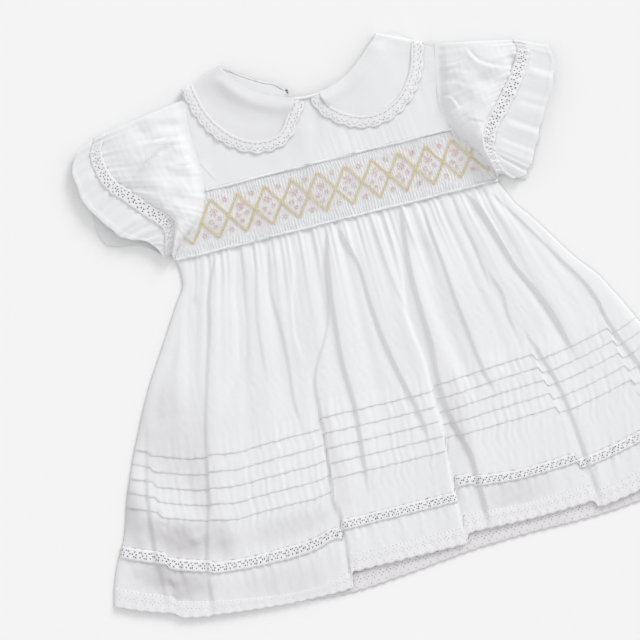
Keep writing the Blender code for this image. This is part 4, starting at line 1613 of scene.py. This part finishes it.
# %% Sleeves
SLEEVE_EDGES = {
    "left": {
        "armhole": (
            (0.1070, 0.2140), (0.1095, 0.1900), (0.1087, 0.1610), (0.1078, 0.1440),
            (0.1105, 0.1265), (0.1160, 0.1140), (0.1250, 0.1050), (0.1360, 0.0985),
            (0.1440, 0.0910), (0.1480, 0.0850),
        ),
        "cuff": (
            (0.1800, 0.2020), (0.1855, 0.1890), (0.1850, 0.1740), (0.1790, 0.1590),
            (0.1690, 0.1485), (0.1560, 0.1335), (0.1440, 0.1220), (0.1405, 0.1130),
            (0.1440, 0.1010), (0.1490, 0.0890),
        ),
        "lace": (
            (0.1885, 0.2000), (0.1950, 0.1865), (0.1940, 0.1700), (0.1870, 0.1530),
            (0.1765, 0.1420), (0.1635, 0.1265), (0.1530, 0.1155), (0.1500, 0.1075),
            (0.1520, 0.0975), (0.1545, 0.0875),
        ),
        "frill": (
            (0.2060, 0.1930), (0.2130, 0.1790), (0.2130, 0.1610), (0.2080, 0.1430),
            (0.1990, 0.1290), (0.1895, 0.1165), (0.1810, 0.1095), (0.1700, 0.1060),
            (0.1620, 0.1000), (0.1560, 0.0880),
        ),
    },
    "right": {
        "armhole": (
            (0.1120, 0.2085), (0.1078, 0.1860), (0.1035, 0.1610), (0.1045, 0.1440),
            (0.1100, 0.1310), (0.1200, 0.1175), (0.1265, 0.1060), (0.1310, 0.0985),
            (0.1345, 0.0905), (0.1360, 0.0850),
        ),
        "cuff": (
            (0.1770, 0.1955), (0.1775, 0.1850), (0.1690, 0.1700), (0.1590, 0.1570),
            (0.1495, 0.1460), (0.1390, 0.1350), (0.1325, 0.1240), (0.1305, 0.1130),
            (0.1325, 0.1000), (0.1365, 0.0880),
        ),
        "lace": (
            (0.1860, 0.1920), (0.1865, 0.1810), (0.1785, 0.1655), (0.1680, 0.1510),
            (0.1575, 0.1390), (0.1470, 0.1280), (0.1405, 0.1170), (0.1385, 0.1080),
            (0.1395, 0.0980), (0.1420, 0.0870),
        ),
        "frill": (
            (0.2040, 0.1840), (0.2060, 0.1700), (0.2000, 0.1520), (0.1920, 0.1370),
            (0.1835, 0.1230), (0.1760, 0.1090), (0.1700, 0.0970), (0.1640, 0.0875),
            (0.1570, 0.0805), (0.1470, 0.0815),
        ),
    },
}
SLEEVE_CROWN = (
    {"share": 0.00, "under": 0.0006, "crown": 0.0064},
    {"share": 0.12, "under": 0.0006, "crown": 0.0100},
    {"share": 0.45, "under": 0.0006, "crown": 0.0150},
    {"share": 0.80, "under": 0.0006, "crown": 0.0130},
    {"share": 1.00, "under": 0.0006, "crown": 0.0092},
)
LACE_CROWN = ({"share": 0.0, "under": 0.0006, "crown": 0.0092},
              {"share": 1.0, "under": 0.0006, "crown": 0.0086})
FRILL_CROWN = ({"share": 0.0, "under": 0.0006, "crown": 0.0086},
               {"share": 1.0, "under": 0.0009, "crown": 0.0078})
SLEEVE_CREASES = {
    "left": (
        {"line": ((-0.1120, 0.1930), (-0.1300, 0.1965), (-0.1450, 0.1990)),
         "depth": 0.0021, "width": 0.0040, "side": 0},
        {"line": ((-0.1130, 0.1825), (-0.1351, 0.1853), (-0.1560, 0.1880)),
         "depth": 0.0036, "width": 0.0045, "side": 1},
        {"line": ((-0.1110, 0.1765), (-0.1270, 0.1768), (-0.1392, 0.1746), (-0.1491, 0.1700),
                  (-0.1639, 0.1630), (-0.1700, 0.1590)),
         "depth": 0.0051, "width": 0.0060, "side": 1},
        {"line": ((-0.1098, 0.1576), (-0.1190, 0.1583), (-0.1290, 0.1590)),
         "depth": 0.0036, "width": 0.0035, "side": 1},
        {"line": ((-0.1110, 0.1660), (-0.1200, 0.1670), (-0.1280, 0.1680)),
         "depth": 0.0021, "width": 0.0028, "side": 0},
        {"line": ((-0.1300, 0.1600), (-0.1370, 0.1500), (-0.1400, 0.1400)),
         "depth": 0.0024, "width": 0.0070, "side": 0},
        {"line": ((-0.1440, 0.1260), (-0.1330, 0.1340), (-0.1240, 0.1420)),
         "depth": 0.0024, "width": 0.0055, "side": 0},
        {"line": ((-0.1560, 0.2050), (-0.1480, 0.1960), (-0.1430, 0.1850)),
         "depth": 0.0021, "width": 0.0070, "side": 0},
    ),
    "right": (
        {"line": ((0.1085, 0.1895), (0.1211, 0.1882), (0.1360, 0.1890)),
         "depth": 0.0020, "width": 0.0035, "side": -1},
        {"line": ((0.1090, 0.1850), (0.1211, 0.1824), (0.1360, 0.1770)),
         "depth": 0.0018, "width": 0.0035, "side": -1},
        {"line": ((0.1065, 0.1765), (0.1202, 0.1729), (0.1340, 0.1640)),
         "depth": 0.0018, "width": 0.0040, "side": -1},
        {"line": ((0.1040, 0.1690), (0.1152, 0.1590), (0.1192, 0.1490)),
         "depth": 0.0022, "width": 0.0040, "side": -1},
        {"line": ((0.1360, 0.1990), (0.1400, 0.1900), (0.1445, 0.1840), (0.1524, 0.1788),
                  (0.1620, 0.1756), (0.1720, 0.1745)),
         "depth": 0.0028, "width": 0.0055, "side": -1},
        {"line": ((0.1350, 0.1710), (0.1450, 0.1660), (0.1540, 0.1640), (0.1650, 0.1665)),
         "depth": 0.0020, "width": 0.0055, "side": 0},
        {"line": ((0.1220, 0.1385), (0.1320, 0.1340), (0.1370, 0.1310)),
         "depth": 0.0009, "width": 0.0035, "side": 1},
        {"line": ((0.1165, 0.1500), (0.1240, 0.1530), (0.1330, 0.1560)),
         "depth": 0.0016, "width": 0.0045, "side": 0},
        {"line": ((0.1690, 0.1860), (0.1700, 0.1780), (0.1703, 0.1692)),
         "depth": 0.0022, "width": 0.0035, "side": 0},
    ),
}


def edge_point(side, name, down):
    rows = SLEEVE_EDGES[side][name]
    table = [{"down": n / (len(rows) - 1), "x": x, "y": y} for n, (x, y) in enumerate(rows)]
    return column(table, "down", "x", down), column(table, "down", "y", down)


def ring_place(side, inner, outer, crown, seed, detail):
    """Places a ring of cloth between two edges of a sleeve.

    detail(turn, down, share, upper) gives more height, and more reach in the ring's direction.
    """

    def place(turn, share):
        swing = 2 * math.pi * (turn if side == "right" else 1 - turn)
        down = (1 - np.cos(swing)) / 2
        upper = np.sin(swing)
        inner_x, inner_y = edge_point(side, inner, down)
        outer_x, outer_y = edge_point(side, outer, down)
        under = column(crown, "share", "under", share)
        top = column(crown, "share", "crown", share)
        middle = mix(under, top, 0.40)
        raised = mix(middle, top, np.clip(upper, 0, 1) ** 0.6)
        lowered = mix(middle, under, np.clip(-1.8 * upper, 0, 1))
        z = np.where(upper >= 0, raised, lowered)
        x = SIGNS[side] * mix(inner_x, outer_x, share)
        y = mix(inner_y, outer_y, share)
        if inner == "armhole":
            sewn = front_height(x, y) + 0.0009
            z = np.where(upper > 0, mix(sewn, z, smooth(-0.01, 0.13, share)), z)
        more, reach = detail(x, y, down, share, upper)
        step_x = SIGNS[side] * (outer_x - inner_x)
        step_y = outer_y - inner_y
        size = np.hypot(step_x, step_y)
        x = x + reach * step_x / size
        y = y + reach * step_y / size
        return x, y, np.maximum(z + more, 0.0004), turn * 0.29, share * size

    return place


def sleeve_detail(side, seed):
    def detail(x, y, down, share, upper):
        facing = np.clip(upper, 0, 1) ** 0.4
        round_it = down * 0.150
        near_arm = np.exp(-share / 0.24)
        near_cuff = np.exp(-(1 - share) / 0.20)
        patchy = 0.6 + 0.4 * ripple(round_it, 0.045, seed)
        fine = 0.0016 * ripple(round_it, 0.0068, seed + 1) * near_arm * patchy
        cuff = 0.0010 * ripple(round_it, 0.0058, seed + 2) * near_cuff
        broad = 0.0007 * ripple(round_it + 0.02 * share, 0.026, seed + 3)
        lumps = 0.0007 * ripple(x + 0.6 * y, 0.030, seed + 4)
        lumps = lumps + 0.0005 * ripple(x - 0.5 * y, 0.0110, seed + 6) * ripple(y + x, 0.0130, seed + 7)
        made = fine + cuff + broad + lumps + 0.78 * creases(x, y, SLEEVE_CREASES[side])
        tucked = -0.0012 * smooth(0.03, 0.0, share)
        return facing * made * smooth(-0.02, 0.08, share) + 0.0002 * (1 - facing), tucked

    return detail


def frill_detail(seed, open_out):
    def detail(x, y, down, share, upper):
        facing = np.clip(upper, 0, 1) ** 0.3
        round_it = down * 0.160
        uneven = 0.55 + 0.45 * ripple(round_it, 0.052, seed + 4)
        deep = 0.0009 * ripple(round_it, 0.0105, seed) * uneven
        deep = deep + 0.0010 * ripple(round_it, 0.0260, seed + 1)
        tight = 0.0006 * ripple(round_it, 0.0046, seed + 2) * np.exp(-share / 0.30) * uneven
        hem = 0.0004 * smooth(0.80, 0.84, share) * smooth(1.02, 0.97, share)
        reach = 0.0010 * ripple(round_it, 0.0240, seed + 3) * share
        below = smooth(0.10, -0.45, upper)
        shown = open_out * below * smooth(0.30, 0.55, down) * smooth(1.0, 0.86, down) * share
        return facing * (deep * smooth(0.0, 0.35, share) + tight + hem), reach + shown

    return detail


def lace_detail(x, y, down, share, upper):
    round_it = down * 0.150
    bumpy = 0.0008 * ripple(round_it, 0.0062, 141) + 0.0006 * ripple(round_it, 0.0170, 142)
    return np.clip(upper, 0, 1) ** 0.4 * (0.0006 + bumpy), 0.0006 * ripple(round_it, 0.009, 143)


def sew_ring(piece):
    """Joins the ends of a ring of lace."""
    bm = bmesh.new()
    bm.from_mesh(piece.data)
    bmesh.ops.remove_doubles(bm, verts=bm.verts, dist=1e-6)
    bm.to_mesh(piece.data)
    bm.free()


for side, seed in (("left", 121), ("right", 131)):
    place = ring_place(side, "armhole", "cuff", SLEEVE_CROWN, seed, sleeve_detail(side, seed))
    sleeve = cloth_sheet(f"sleeve_{side}_cloth", 300, 90, place, lawn, closed=True)
    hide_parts(f"sleeve_{side}")
    ring = ring_place(side, "cuff", "lace", LACE_CROWN, seed, lace_detail)
    ring_lace = lace_strip(
        f"sleeve_{side}_lace",
        0.290,
        0.0090,
        0.00135,
        SLEEVE_CHART,
        lambda along, up, ring=ring: ring(along, 1.08 - 1.16 * up)[:3],
        thread=0.0008,
        hole=0.25,
    )
    sew_ring(ring_lace)
    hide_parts(f"sleeve_insertion_{side}")
    open_out = 0.013 if side == "left" else 0.003
    place = ring_place(side, "lace", "frill", FRILL_CROWN, seed, frill_detail(seed + 5, open_out))
    frill = cloth_sheet(f"sleeve_{side}_frill", 300, 26, place, lawn, 0.0004, closed=True)
    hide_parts(f"sleeve_frill_{side}")
print("sleeves set in")

# %% [markdown]
# ## Buttons
#
# Three small shell buttons close the back.  Each is a disc with four holes and a raised rim, and the
# shell has a faint cloudy colour that is read from the button's own place.

# %% Pearl buttons
pearl = bpy.data.materials.new("pearl_shell")
pearl.use_nodes = True
pearl_tree = pearl.node_tree
shell_place = pearl_tree.nodes.new("ShaderNodeTexCoord")
clouds = pearl_tree.nodes.new("ShaderNodeTexNoise")
clouds.inputs["Scale"].default_value = 260.0
shades = pearl_tree.nodes.new("ShaderNodeValToRGB")
shades.color_ramp.elements[0].color = (0.80, 0.76, 0.74, 1.0)
shades.color_ramp.elements[1].color = (0.78, 0.82, 0.80, 1.0)
pearl_tree.links.new(shell_place.outputs["Object"], clouds.inputs["Vector"])
pearl_tree.links.new(clouds.outputs["Fac"], shades.inputs["Fac"])
pearl_shader = pearl_tree.nodes["Principled BSDF"]
pearl_tree.links.new(shades.outputs["Color"], pearl_shader.inputs["Base Color"])
pearl_shader.inputs["Roughness"].default_value = 0.25


def pearl_button(number):
    low, high = (Vector(corner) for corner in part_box(f"button_{number}"))
    middle = (low + high) / 2
    radius = (high.x - low.x) / 2
    deep = high.z - low.z
    bm = bmesh.new()
    bmesh.ops.create_circle(bm, segments=40, radius=radius)
    for turn in (45, 135, 225, 315):
        spot = Matrix.Rotation(math.radians(turn), 4, "Z") @ Matrix.Translation((0.26 * radius, 0, 0))
        bmesh.ops.create_circle(bm, segments=12, radius=0.10 * radius, matrix=spot)
    bmesh.ops.triangle_fill(bm, use_beauty=True, edges=bm.edges)
    bmesh.ops.translate(bm, verts=bm.verts, vec=middle)
    disc = bpy.data.meshes.new(f"pearl_button_{number}")
    bm.to_mesh(disc)
    bm.free()
    disc_piece = finish_piece(f"pearl_button_{number}", disc, pearl, 0.6 * deep)
    turns = np.linspace(0, 2 * math.pi, 49)
    ring = np.stack(
        [
            middle.x + 0.86 * radius * np.cos(turns),
            middle.y + 0.86 * radius * np.sin(turns),
            np.full(49, middle.z - 0.22 * deep),
        ],
        axis=1,
    )
    rim = tube(f"button_rim_{number}", ring, 0.13 * radius, pearl, sides=8)
    for piece in (disc_piece, rim):
        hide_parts(f"button_{number}")


for number in (1, 2, 3):
    pearl_button(number)
print("three buttons at the back")
